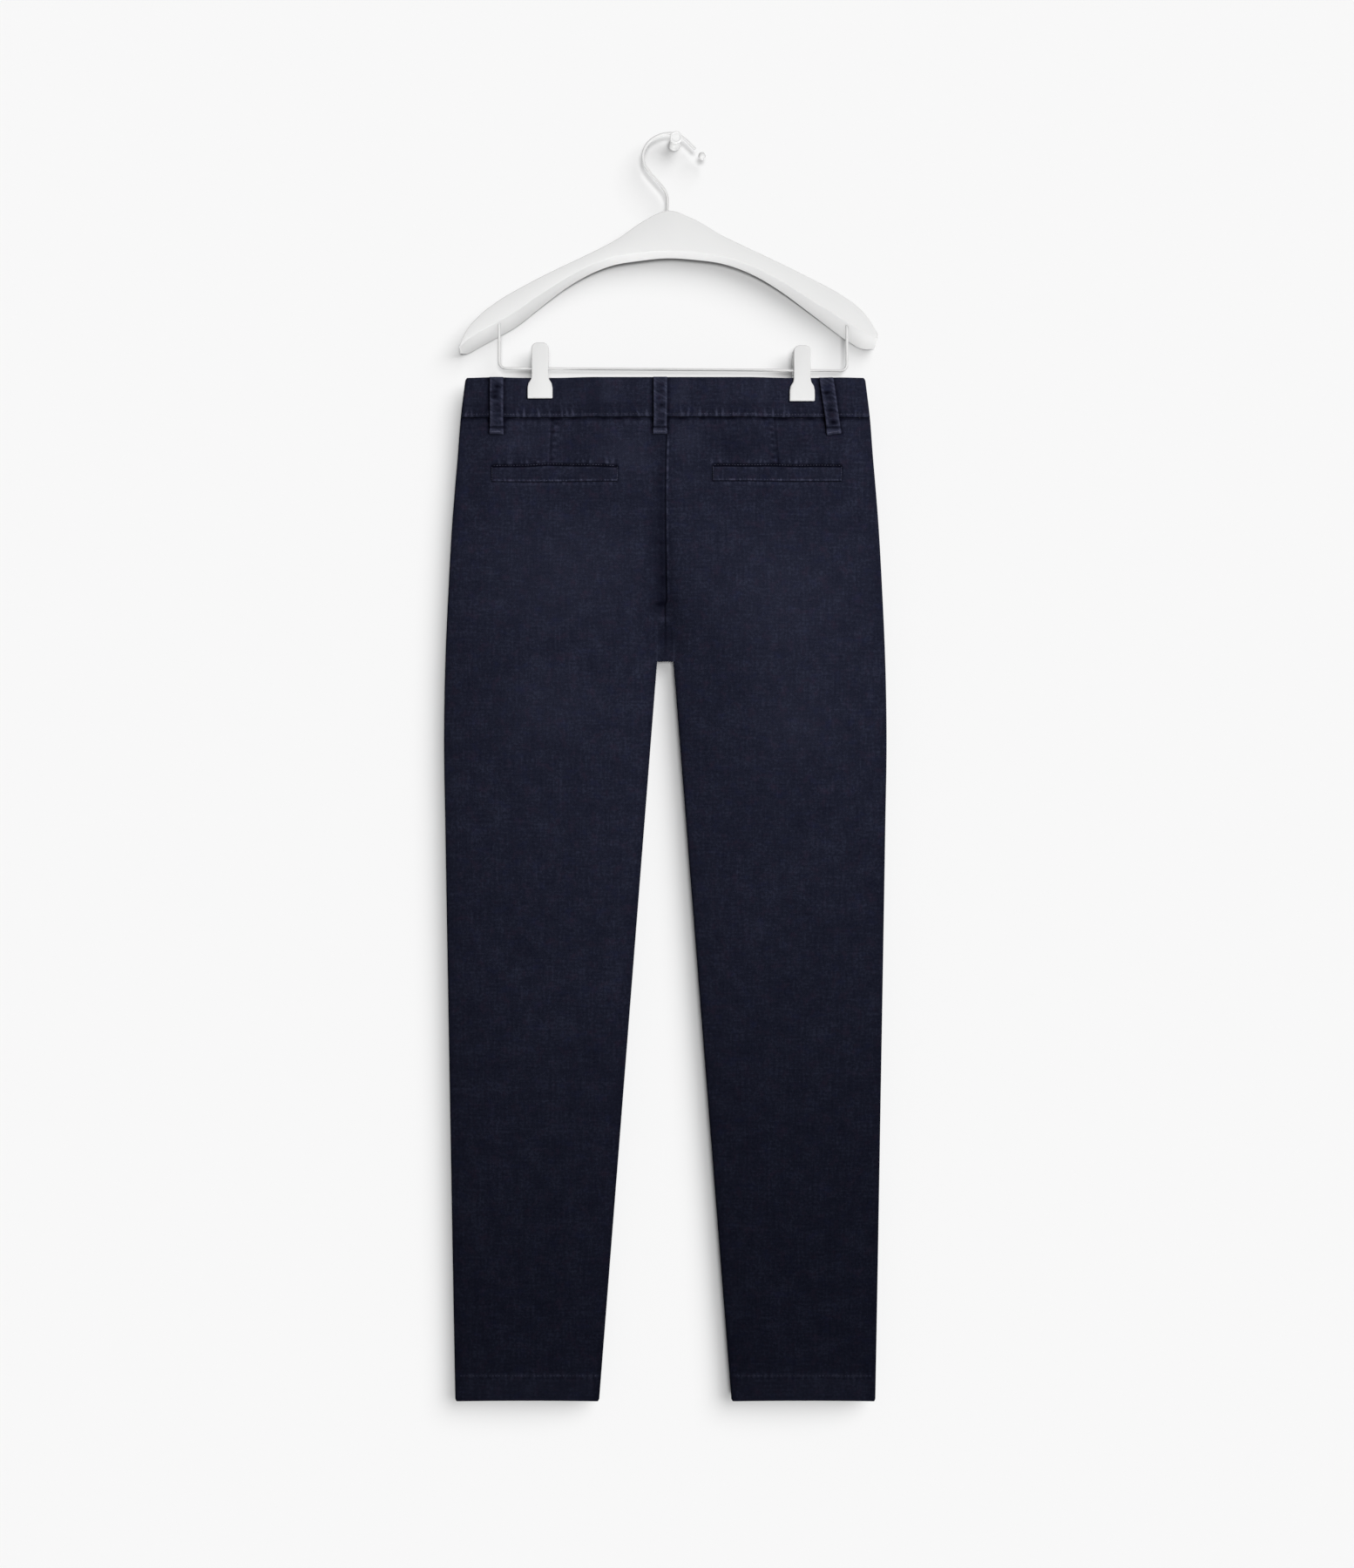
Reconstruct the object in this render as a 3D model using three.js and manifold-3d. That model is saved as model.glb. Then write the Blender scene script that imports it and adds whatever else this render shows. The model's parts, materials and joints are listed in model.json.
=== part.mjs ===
// Slim chino trousers hanging by the waistband from a clip hanger on a wall peg.
// Millimetres, +Z up. The origin is the centre of the peg's flat back, on the wall, which is the plane Y = 0.
// The back of the trousers faces the room (-Y) and their front faces the wall (+Y).
// The wearer's left side is at -X.
import * as THREE from "three";
import { mergeVertices } from "three/addons/utils/BufferGeometryUtils.js";
import Module from "manifold-3d";

const wasm = await Module();
wasm.setup();

// ---- Driving dimensions ----

const SEAM = 0.3; // between pieces that are sewn together or rest on each other
const LIFT = 0.45; // between a panel and a piece that lies on its faceted surface

// Trousers
const CENTRE_X = -11.4; // their centre line hangs a little left of the peg
const CLOTH_Y = -21; // the plane on which the front and the back close
const CLOTH = 1.5; // one layer of twill, as a wall
const BAND = 3; // the waistband: two layers and its stiffening
const WAIST_TOP_Z = -261;
const WAIST_SEAM_Z = -304.7;
const HIP_Z = WAIST_SEAM_Z - 170; // below this the clips no longer flatten the cloth
const CROTCH_Z = -569.8;
const CROTCH_HALF = 8.9; // half of the flat bar between the legs at the crotch
const INSEAM_SLOPE = 0.0785; // how fast the inseams part, mm per mm of drop
const HEM_Z = -1375;
const HEM_DEEP = 27.5; // height of the turned-up hem
const HEM_WALL = 1;
const WAIST_HOLLOW = 4.5; // half of the waist's opening between the clips
const LENS_POWER = 2.4; // how square the flattened section of the body and legs is

// Each row is a level of the body: half of its flat width, and half of the hollow inside it.
const LEVELS = [
  { z: -261, half: 217.6, hollow: 4.5 },
  { z: -305, half: 222.9, hollow: 5 },
  { z: -342, half: 225.8, hollow: 7.5 },
  { z: -418, half: 232, hollow: 11 },
  { z: -494, half: 236.3, hollow: 13 },
  { z: -570, half: 239.6, hollow: 13.5 },
  { z: -656, half: 241, hollow: 13 },
  { z: -751, half: 239.6, hollow: 12 },
  { z: -893, half: 237.2, hollow: 10.5 },
  { z: -1083, half: 233.9, hollow: 9 },
  { z: -1273, half: 230.6, hollow: 8 },
  { z: -1375, half: 228.7, hollow: 7.5 },
];

// Belt loops: place of the middle from the centre line at the waist top and at the lower end, and the side.
const LOOP_WIDE = 15.1;
const LOOP_WALL = 1.8;
const LOOP_END_Z = -323.4;
const BACK = -1;
const FRONT = 1;
const LOOPS = [
  { name: "belt_loop_back_centre", top: -6.2, end: -6.2, face: BACK },
  { name: "belt_loop_back_left", top: -183.8, end: -183.8, face: BACK },
  { name: "belt_loop_back_right", top: 174.2, end: 183.2, face: BACK },
  { name: "belt_loop_front_left", top: -98, end: -98, face: FRONT },
  { name: "belt_loop_front_right", top: 100, end: 100, face: FRONT },
];

// Back welt pockets: both ends from the centre line, and the level of the opening.
const WELT_DEEP = 15.4;
const WELT_WALL = 1.2;
const WELTS = [
  { name: "back_welt_left", from: -189.2, to: -52.1, z: -359.4 },
  { name: "back_welt_right", from: 50.7, to: 191.5, z: -358.8 },
];

// Front: slant pockets, fly and closure
const POCKET_WIDE = 45; // from the side seam, along the waist seam
const POCKET_DEEP = 165; // down the side seam
const FLY_WIDE = 38;
const FLY_LAP = 6; // past the centre line
const FLY_DEEP = 170;
const BAND_LAP = 18; // the left half of the front band laps past the centre line
const BUTTON_X = 8; // from the centre line
const BUTTON_R = 7.5;
const BUTTON_WALL = 3;

// Hanger. Each row is a section: the place along it, the top and underside levels, and the depth.
const HANGER_FRONT_Y = -26;
const HANGER_ROUND = 5; // largest rounding of its long edges
const HANGER_SECTIONS = [
  { x: -235.4, crest: -229.5, base: -233.2, depth: 17 },
  { x: -229, crest: -211.8, base: -229.4, depth: 24 },
  { x: -215.7, crest: -195.8, base: -222, depth: 25 },
  { x: -195.8, crest: -179.7, base: -211, depth: 25 },
  { x: -163.7, crest: -160.7, base: -192, depth: 23.5 },
  { x: -130.5, crest: -143.7, base: -170, depth: 20.5 },
  { x: -98.4, crest: -128.5, base: -148.5, depth: 17 },
  { x: -65.2, crest: -111.5, base: -134.3, depth: 14.5 },
  { x: -33, crest: -89.7, base: -128.6, depth: 14 },
  { x: -10.3, crest: -79.8, base: -126.7, depth: 14 },
  { x: 19, crest: -88.8, base: -127.4, depth: 14 },
  { x: 48.4, crest: -105.8, base: -132.4, depth: 14.5 },
  { x: 81.5, crest: -121.9, base: -144.7, depth: 16.5 },
  { x: 113.7, crest: -137.1, base: -162.7, depth: 19.5 },
  { x: 145.9, crest: -153.2, base: -184.4, depth: 22.5 },
  { x: 179, crest: -171.1, base: -207.2, depth: 24.5 },
  { x: 195.1, crest: -182.5, base: -216.6, depth: 25 },
  { x: 208.3, crest: -195.8, base: -224.2, depth: 25 },
  { x: 219.2, crest: -219, base: -229.9, depth: 19 },
];

// Hook: a bent wire in the plane HOOK_Y, from its socket in the hanger to its tip.
const HOOK_Y = -19;
const HOOK_R = 1.65;
const HOOK_SOCKET_Z = -92;
const HOOK_BENDS = [
  { x: -9.4, z: -91.6 },
  { x: -9.4, z: -76 },
  { x: -9.1, z: -64 },
  { x: -12.2, z: -55.5 },
  { x: -19.4, z: -46.7 },
  { x: -27, z: -38 },
  { x: -33.8, z: -28 },
  { x: -35.4, z: -16 },
  { x: -29.5, z: -3.5 },
  { x: -16, z: 4.8 },
  { x: 0, z: 5.6 },
  { x: 9.6, z: 0.2 },
  { x: 16, z: -5.8 },
  { x: 21.5, z: -11.2 },
];
const TIP_R = 4;
const TIP_LONG = 14;

// Trouser bar: a wire with two upright ends in the hanger's arms.
const BAR_Y = -21;
const BAR_R = 1.5;
const BAR_LEFT = { x: -192.2, z: -250.2, socket: -199 };
const BAR_RIGHT = { x: 186.4, z: -252.9, socket: -201 };
const BAR_BEND = 7; // radius of its corners

// Clips: two jaws round the bar, which grip the waistband.
const CLIPS = [
  { name: "clip_left", x: -147.8, top: -223.5 },
  { name: "clip_right", x: 136.9, top: -226.5 },
];
const JAW_LONG = 60.5;
const JAW_WALL = 4;
const STALK_HALF = 9.2; // half width of the upper part
const PAD_HALF = 13.6; // half width of the lower part
const STALK_LONG = 38.5;
const PAD_LONG = 11;
const BLOCK_WIDE = 12;
const BLOCK_HIGH = 9;

// Wall peg: radii and levels of its turned profile, from the wall outwards.
const PEG_PROFILE = [
  { r: 0, out: 0 },
  { r: 6.4, out: 0 },
  { r: 6.4, out: 3 },
  { r: 6, out: 4 },
  { r: 6, out: 15.6 },
  { r: 3.5, out: 17 },
  { r: 3.5, out: 21 },
  { r: 6.2, out: 22 },
  { r: 6.7, out: 22.8 },
  { r: 6.7, out: 25 },
  { r: 6, out: 26 },
  { r: 4.8, out: 26 },
  { r: 4.4, out: 25.4 },
  { r: 0, out: 25.4 },
];

// ---- Shape of the hanging cloth ----

// 0 before a, 1 after b and a smooth rise between them; b may be the lower of the two.
function ease(a, b, v) {
  const t = Math.min(1, Math.max(0, (v - a) / (b - a)));
  return t * t * (3 - 2 * t);
}

// A column of a table at the place `at` along its `key`, smooth through every row.
function between(table, key, column, at) {
  const down = table[0][key] > table[1][key] ? -1 : 1;
  const last = table.length - 1;
  const clamped = down * Math.min(down * table[last][key], Math.max(down * table[0][key], down * at));
  let i = 0;
  while (i < last - 1 && down * table[i + 1][key] < down * clamped) i++;
  const row = (n) => table[Math.min(last, Math.max(0, n))];
  const slope = (n) => {
    const before = row(n - 1);
    const after = row(n + 1);
    return (after[column] - before[column]) / (after[key] - before[key]);
  };
  const a = row(i);
  const b = row(i + 1);
  const span = b[key] - a[key];
  const t = (clamped - a[key]) / span;
  const t2 = t * t;
  const t3 = t2 * t;
  return (
    (2 * t3 - 3 * t2 + 1) * a[column] +
    (t3 - 2 * t2 + t) * span * slope(i) +
    (3 * t2 - 2 * t3) * b[column] +
    (t3 - t2) * span * slope(i + 1)
  );
}

const sideEdge = (z) => between(LEVELS, "z", "half", z);
const inseamEdge = (z) => CROTCH_HALF + INSEAM_SLOPE * (CROTCH_Z - z);
const innerEdge = (z) => (z > CROTCH_Z - 1 ? SEAM / 2 : inseamEdge(z));
const lens = (u) => Math.max(0, 1 - Math.abs(u) ** LENS_POWER);

// Half of the hollow between front and back where the clips flatten the waist. x is from the centre line.
function waistHollow(x) {
  const toClip = Math.min(...CLIPS.map((clip) => Math.abs(x + CENTRE_X - clip.x)));
  const side = sideEdge(WAIST_TOP_Z);
  return WAIST_HOLLOW * ease(PAD_HALF + 1, 60, toClip) * ease(side, side - 40, Math.abs(x));
}

// Half of the hollow at any place: one wide flattened tube at the hips, which parts into two legs.
function hollow(x, z) {
  const side = sideEdge(z);
  const parted = ease(CROTCH_Z + 150, CROTCH_Z, z);
  const inner = Math.max(0, z > CROTCH_Z ? 0 : inseamEdge(z));
  const whole = lens(x / side);
  const leg = lens((2 * Math.abs(x) - side - inner) / (side - inner));
  const body = between(LEVELS, "z", "hollow", z) * (whole + (leg - whole) * parted);
  const settled = ease(WAIST_SEAM_Z, HIP_Z, z);
  return waistHollow(x) * (1 - settled) + body * settled;
}

// Distances of surfaces from the plane CLOTH_Y, at x from the centre line.
const clothInside = (x, z) => SEAM / 2 + hollow(x, z);
const clothOutside = (x, z) => clothInside(x, z) + CLOTH;
const bandOutside = (x) => SEAM / 2 + waistHollow(x) + BAND;

// ---- Mesh tools ----

const places = (n) => Array.from({ length: n }, (_, i) => i);

function spread(from, to, steps) {
  return Array.from({ length: steps + 1 }, (_, i) => from + ((to - from) * i) / steps);
}

function geometryOf(points, triangles) {
  return new THREE.BufferGeometry()
    .setAttribute("position", new THREE.Float32BufferAttribute(points.flat(), 3))
    .setIndex(triangles.flat());
}

// A wall of cloth. rows are its levels from the top down, from(z) and to(z) its edges, and lie(x, z) the
// distance of its inner surface from the plane CLOTH_Y; face says which side of that plane it is on.
function clothWall({ rows, columns, from, to, lie, wall, face }) {
  const across = columns + 1;
  const layer = (extra) =>
    rows.flatMap((z) =>
      spread(from(z), to(z), columns).map((x) => [CENTRE_X + x, CLOTH_Y + face * (lie(x, z) + extra), z]),
    );
  const nearRoom = layer(face === BACK ? wall : 0);
  const nearWall = layer(face === BACK ? 0 : wall);
  const other = nearRoom.length;
  const at = (i, j) => j * across + i;
  const triangles = [];
  for (let j = 0; j < rows.length - 1; j++) {
    for (let i = 0; i < columns; i++) {
      const [a, b, c, d] = [at(i, j), at(i, j + 1), at(i + 1, j), at(i + 1, j + 1)];
      triangles.push([a, b, c], [c, b, d]);
      triangles.push([other + a, other + c, other + b], [other + c, other + d, other + b]);
    }
  }
  const low = rows.length - 1;
  const rim = [
    ...places(low).map((j) => at(0, j)),
    ...places(columns).map((i) => at(i, low)),
    ...places(low).map((j) => at(columns, low - j)),
    ...places(columns).map((i) => at(columns - i, 0)),
  ];
  rim.forEach((p, n) => {
    const q = rim[(n + 1) % rim.length];
    triangles.push([q, p, other + p], [q, other + p, other + q]);
  });
  return geometryOf([...nearRoom, ...nearWall], triangles);
}

// A solid through rings of equal length, closed by a fan at each end.
function loft(rings) {
  const count = rings[0].length;
  const middle = (ring) => [0, 1, 2].map((k) => ring.reduce((sum, p) => sum + p[k], 0) / count);
  const points = [...rings.flat(), middle(rings[0]), middle(rings[rings.length - 1])];
  const first = points.length - 2;
  const triangles = [];
  for (let i = 0; i < count; i++) {
    const next = (i + 1) % count;
    for (let r = 0; r < rings.length - 1; r++) {
      const a = r * count;
      const b = a + count;
      triangles.push([a + i, a + next, b + i], [a + next, b + next, b + i]);
    }
    const end = (rings.length - 1) * count;
    triangles.push([first, next, i], [first + 1, end + i, end + next]);
  }
  return geometryOf(points, triangles);
}

function solidOf(geometry) {
  const bare = geometry.index ? geometry.toNonIndexed() : geometry.clone();
  bare.deleteAttribute("normal");
  bare.deleteAttribute("uv");
  const merged = mergeVertices(bare, 1e-4);
  return new wasm.Manifold(
    new wasm.Mesh({
      numProp: 3,
      vertProperties: merged.attributes.position.array,
      triVerts: new Uint32Array(merged.index.array),
    }),
  );
}

function cutFrom(geometry, cutters) {
  const cut = cutters.reduce((solid, cutter) => solid.subtract(solidOf(cutter)), solidOf(geometry));
  const mesh = cut.getMesh();
  return new THREE.BufferGeometry()
    .setAttribute("position", new THREE.BufferAttribute(mesh.vertProperties, 3))
    .setIndex(new THREE.BufferAttribute(mesh.triVerts, 1));
}

// An upright round socket, for a wire of this radius.
function socket(x, y, fromZ, toZ, wireR) {
  return new THREE.CylinderGeometry(wireR + SEAM, wireR + SEAM, toZ - fromZ, 16)
    .rotateX(Math.PI / 2)
    .translate(x, y, (fromZ + toZ) / 2);
}

function wire(curve, radius, steps) {
  const sides = 8;
  const circle = new THREE.Shape(
    spread(0, 2 * Math.PI, sides)
      .slice(0, sides)
      .map((a) => new THREE.Vector2(radius * Math.cos(a), radius * Math.sin(a))),
  );
  return new THREE.ExtrudeGeometry(circle, { steps, extrudePath: curve });
}

// A turned piece whose axis points along -Y, from a profile of radii and distances out from the wall.
function turned(profile, segments) {
  const outline = profile.map(({ r, out }) => new THREE.Vector2(r, -out));
  return new THREE.LatheGeometry(outline.reverse(), segments);
}

// ---- The model ----

const model = new THREE.Group();
const material = (color, roughness) => new THREE.MeshStandardMaterial({ color, roughness, metalness: 0 });
const twill = material("#20222f", 0.95);
const whitePlastic = material("#e9e9e9", 0.4);
const whiteWire = material("#ededed", 0.35);
const whitePaint = material("#f4f4f4", 0.5);
const navyButton = material("#1a1c27", 0.35);

function add(name, geometry, itsMaterial) {
  const mesh = new THREE.Mesh(geometry, itsMaterial);
  mesh.name = name;
  model.add(mesh);
  return mesh;
}

const SIDES = [
  { side: "left", sign: -1 },
  { side: "right", sign: 1 },
];

// Edges of a piece on one side of the centre line, given how far each lies from it, in order of x.
function edges(sign, near, far) {
  return sign < 0 ? { from: (z) => -far(z), to: (z) => -near(z) } : { from: near, to: far };
}

const panelRows = [
  ...spread(WAIST_SEAM_Z - SEAM / 2, CROTCH_Z, 12),
  ...spread(CROTCH_Z - 2, HEM_Z, 14),
];

function backPanels() {
  for (const { side, sign } of SIDES) {
    const panel = clothWall({
      rows: panelRows,
      columns: 12,
      ...edges(sign, innerEdge, sideEdge),
      lie: clothInside,
      wall: CLOTH,
      face: BACK,
    });
    add(`back_${side}`, panel, twill);
  }
}

// Distance of the pocket mouth from the side seam at each level.
const pocketMouth = (z) => POCKET_WIDE * Math.max(0, 1 - (WAIST_SEAM_Z - z) / POCKET_DEEP);

function frontPanels() {
  const pocketEndZ = WAIST_SEAM_Z - POCKET_DEEP;
  const mouthEdge = (z) => sideEdge(z) - pocketMouth(z);
  const facingRows = spread(WAIST_SEAM_Z - SEAM / 2, pocketEndZ + 12, 6);
  for (const { side, sign } of SIDES) {
    const front = { lie: clothInside, wall: CLOTH, face: FRONT };
    const panel = { rows: panelRows, columns: 12, ...edges(sign, innerEdge, mouthEdge), ...front };
    add(`front_${side}`, clothWall(panel), twill);
    const facingNear = (z) => mouthEdge(z) + SEAM;
    const facing = { rows: facingRows, columns: 3, ...edges(sign, facingNear, sideEdge), ...front };
    add(`pocket_facing_${side}`, clothWall(facing), twill);
  }
}

function hems() {
  for (const { side, sign } of SIDES) {
    for (const [name, face] of [["back", BACK], ["front", FRONT]]) {
      const inner = (z) => inseamEdge(z) + 12;
      const outer = (z) => sideEdge(z) - 12;
      const fold = clothWall({
        rows: spread(HEM_Z + HEM_DEEP, HEM_Z + 0.5, 2),
        columns: 10,
        ...edges(sign, inner, outer),
        lie: (x, z) => clothInside(x, z) - SEAM - HEM_WALL,
        wall: HEM_WALL,
        face,
      });
      add(`hem_${name}_${side}`, fold, twill);
    }
  }
}

function waistband() {
  const rows = spread(WAIST_TOP_Z, WAIST_SEAM_Z + SEAM / 2, 3);
  const lie = (x) => SEAM / 2 + waistHollow(x);
  const piece = (name, columns, from, to, face) =>
    add(name, clothWall({ rows, columns, from, to, lie, wall: BAND, face }), twill);
  const left = (z) => -sideEdge(z);
  piece("waistband_back", 32, left, sideEdge, BACK);
  piece("waistband_front_left", 18, left, () => BAND_LAP, FRONT);
  piece("waistband_front_right", 16, () => BAND_LAP + SEAM, sideEdge, FRONT);
}

function beltLoops() {
  const rows = [...spread(WAIST_TOP_Z, WAIST_SEAM_Z - 6, 3), LOOP_END_Z];
  for (const { name, top, end, face } of LOOPS) {
    const middle = (z) => top + ((end - top) * (WAIST_TOP_Z - z)) / (WAIST_TOP_Z - LOOP_END_Z);
    const onPanel = (x, z) => clothOutside(x, z) + LIFT;
    const lie = (x, z) => (z === LOOP_END_Z ? onPanel(x, z) : bandOutside(x) + LIFT);
    const from = (z) => middle(z) - LOOP_WIDE / 2;
    const to = (z) => middle(z) + LOOP_WIDE / 2;
    add(name, clothWall({ rows, columns: 2, from, to, lie, wall: LOOP_WALL, face }), twill);
  }
}

function backWelts() {
  for (const { name, from, to, z } of WELTS) {
    const welt = clothWall({
      rows: spread(z, z - WELT_DEEP, 2),
      columns: 10,
      from: () => from,
      to: () => to,
      lie: (x, level) => clothOutside(x, level) + LIFT,
      wall: WELT_WALL,
      face: BACK,
    });
    add(name, welt, twill);
  }
}

function flyAndButton() {
  const rows = spread(WAIST_SEAM_Z - SEAM, WAIST_SEAM_Z - FLY_DEEP, 8);
  const flyEndZ = rows[rows.length - 1];
  const curved = (z) => Math.sqrt(Math.min(1, (z - flyEndZ) / FLY_WIDE + 0.02));
  const flap = clothWall({
    rows,
    columns: 3,
    from: (z) => FLY_LAP - (FLY_LAP + FLY_WIDE) * curved(z),
    to: () => FLY_LAP,
    lie: (x, z) => clothOutside(x, z) + 2 * LIFT,
    wall: WELT_WALL,
    face: FRONT,
  });
  add("fly_flap", flap, twill);

  const buttonZ = (WAIST_TOP_Z + WAIST_SEAM_Z) / 2;
  const profile = [
    { r: 0, out: 0 },
    { r: BUTTON_R - 1, out: 0 },
    { r: BUTTON_R, out: 1 },
    { r: BUTTON_R, out: BUTTON_WALL - 1 },
    { r: BUTTON_R - 1, out: BUTTON_WALL },
    { r: BUTTON_R - 2.2, out: BUTTON_WALL - 0.5 },
    { r: 0, out: BUTTON_WALL - 0.5 },
  ];
  const button = add("waist_button", turned(profile, 24), navyButton);
  button.rotation.z = Math.PI;
  button.position.set(CENTRE_X + BUTTON_X, CLOTH_Y + bandOutside(BUTTON_X) + LIFT, buttonZ);
}

// One ring of the hanger: flat front, back and underside, with rounded long edges.
function hangerRing({ x, crest, base, depth }) {
  const round = Math.min(HANGER_ROUND, (crest - base) / 3, depth / 3);
  const front = HANGER_FRONT_Y;
  const back = HANGER_FRONT_Y + depth;
  const corner = (y, z, start) =>
    spread(start, start + Math.PI / 2, 3).map((a) => [x, y + round * Math.cos(a), z + round * Math.sin(a)]);
  return [
    ...corner(back - round, crest - round, 0),
    ...corner(front + round, crest - round, Math.PI / 2),
    ...corner(front + round, base + round, Math.PI),
    ...corner(back - round, base + round, (3 * Math.PI) / 2),
  ];
}

function hanger() {
  const stations = HANGER_SECTIONS.slice(0, -1).flatMap(({ x }, i) => [x, (x + HANGER_SECTIONS[i + 1].x) / 2]);
  stations.push(HANGER_SECTIONS[HANGER_SECTIONS.length - 1].x);
  const rings = stations.map((x) =>
    hangerRing({
      x,
      crest: between(HANGER_SECTIONS, "x", "crest", x),
      base: between(HANGER_SECTIONS, "x", "base", x),
      depth: between(HANGER_SECTIONS, "x", "depth", x),
    }),
  );
  const sockets = [socket(HOOK_BENDS[0].x, HOOK_Y, HOOK_SOCKET_Z, HOOK_SOCKET_Z + 40, HOOK_R)];
  for (const end of [BAR_LEFT, BAR_RIGHT]) {
    sockets.push(socket(end.x, BAR_Y, end.socket - 40, end.socket + SEAM, BAR_R));
  }
  add("hanger_body", cutFrom(loft(rings), sockets), whitePlastic);
}

function hook() {
  const bends = HOOK_BENDS.map(({ x, z }) => new THREE.Vector3(x, HOOK_Y, z));
  const curve = new THREE.CatmullRomCurve3(bends);
  add("hook_wire", wire(curve, HOOK_R, 64), whiteWire);

  const end = bends[bends.length - 1];
  const away = curve.getTangent(1);
  const cap = spread(0, Math.PI / 2, 4);
  const profile = [
    ...cap.map((a) => new THREE.Vector2(TIP_R * Math.sin(a), TIP_R - TIP_R * Math.cos(a))),
    ...cap.map((a) => new THREE.Vector2(TIP_R * Math.cos(a), TIP_LONG - TIP_R + TIP_R * Math.sin(a))),
  ];
  const tip = add("hook_tip", new THREE.LatheGeometry(profile, 16), whitePlastic);
  tip.quaternion.setFromUnitVectors(new THREE.Vector3(0, 1, 0), away);
  tip.position.copy(end).addScaledVector(away, SEAM);
}

function trouserBar() {
  const at = (x, z) => new THREE.Vector3(x, BAR_Y, z);
  const path = new THREE.CurvePath();
  const [left, right] = [BAR_LEFT, BAR_RIGHT];
  path.add(new THREE.LineCurve3(at(left.x, left.socket), at(left.x, left.z + BAR_BEND)));
  path.add(
    new THREE.QuadraticBezierCurve3(
      at(left.x, left.z + BAR_BEND),
      at(left.x, left.z),
      at(left.x + BAR_BEND, left.z),
    ),
  );
  path.add(new THREE.LineCurve3(at(left.x + BAR_BEND, left.z), at(right.x - BAR_BEND, right.z)));
  path.add(
    new THREE.QuadraticBezierCurve3(
      at(right.x - BAR_BEND, right.z),
      at(right.x, right.z),
      at(right.x, right.z + BAR_BEND),
    ),
  );
  path.add(new THREE.LineCurve3(at(right.x, right.z + BAR_BEND), at(right.x, right.socket)));
  add("trouser_bar", wire(path, BAR_R, 96), whiteWire);
}

// One jaw's outline: a narrow stalk with a round top, which flares into the gripping pad. z = 0 at its top.
function jawOutline() {
  const topR = 6;
  const padR = 2.5;
  const outline = new THREE.Shape();
  outline.moveTo(-STALK_HALF, -topR);
  outline.lineTo(-STALK_HALF, -STALK_LONG);
  outline.lineTo(-PAD_HALF, -STALK_LONG - PAD_LONG);
  outline.lineTo(-PAD_HALF, padR - JAW_LONG);
  outline.absarc(padR - PAD_HALF, padR - JAW_LONG, padR, Math.PI, 1.5 * Math.PI);
  outline.absarc(PAD_HALF - padR, padR - JAW_LONG, padR, 1.5 * Math.PI, 2 * Math.PI);
  outline.lineTo(PAD_HALF, -STALK_LONG - PAD_LONG);
  outline.lineTo(STALK_HALF, -STALK_LONG);
  outline.lineTo(STALK_HALF, -topR);
  outline.absarc(STALK_HALF - topR, -topR, topR, 0, Math.PI / 2);
  outline.absarc(topR - STALK_HALF, -topR, topR, Math.PI / 2, Math.PI);
  return outline;
}

function clips() {
  const jawInside = BAND + SEAM / 2 + SEAM;
  const blockHalf = jawInside - SEAM;
  for (const { name, x, top } of CLIPS) {
    const jaw = () =>
      new THREE.ExtrudeGeometry(jawOutline(), {
        depth: JAW_WALL,
        bevelEnabled: false,
        curveSegments: 5,
      }).rotateX(Math.PI / 2);
    const places = [
      ["room_jaw", CLOTH_Y - jawInside],
      ["wall_jaw", CLOTH_Y + jawInside + JAW_WALL],
    ];
    for (const [part, y] of places) add(`${name}_${part}`, jaw(), whitePlastic).position.set(x, y, top);

    const along = (x - BAR_LEFT.x) / (BAR_RIGHT.x - BAR_LEFT.x);
    const barZ = BAR_LEFT.z + (BAR_RIGHT.z - BAR_LEFT.z) * along;
    const section = new THREE.Shape();
    section.moveTo(-BLOCK_HIGH / 2, -blockHalf);
    section.lineTo(BLOCK_HIGH / 2, -blockHalf);
    section.lineTo(BLOCK_HIGH / 2, blockHalf);
    section.lineTo(-BLOCK_HIGH / 2, blockHalf);
    section.closePath();
    const bore = new THREE.Path();
    bore.absarc(0, 0, BAR_R + SEAM, 0, 2 * Math.PI, true);
    section.holes.push(bore);
    const block = new THREE.ExtrudeGeometry(section, {
      depth: BLOCK_WIDE,
      bevelEnabled: false,
      curveSegments: 8,
    }).rotateY(Math.PI / 2);
    add(`${name}_pivot`, block, whitePlastic).position.set(x - BLOCK_WIDE / 2, BAR_Y, barZ);
  }
}

function wallPeg() {
  add("wall_peg", turned(PEG_PROFILE, 32), whitePaint);
}

backPanels();
frontPanels();
hems();
waistband();
beltLoops();
backWelts();
flyAndButton();
hanger();
hook();
trouserBar();
clips();
wallPeg();

export default model;
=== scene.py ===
# Slim navy chino trousers, hanging flat by the waistband from a white clip hanger on a wall peg.
# Metres, +Z up. The wall is the plane y = 0 and the room is at -y. The back of the trousers faces the room.
import json
import math

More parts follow.
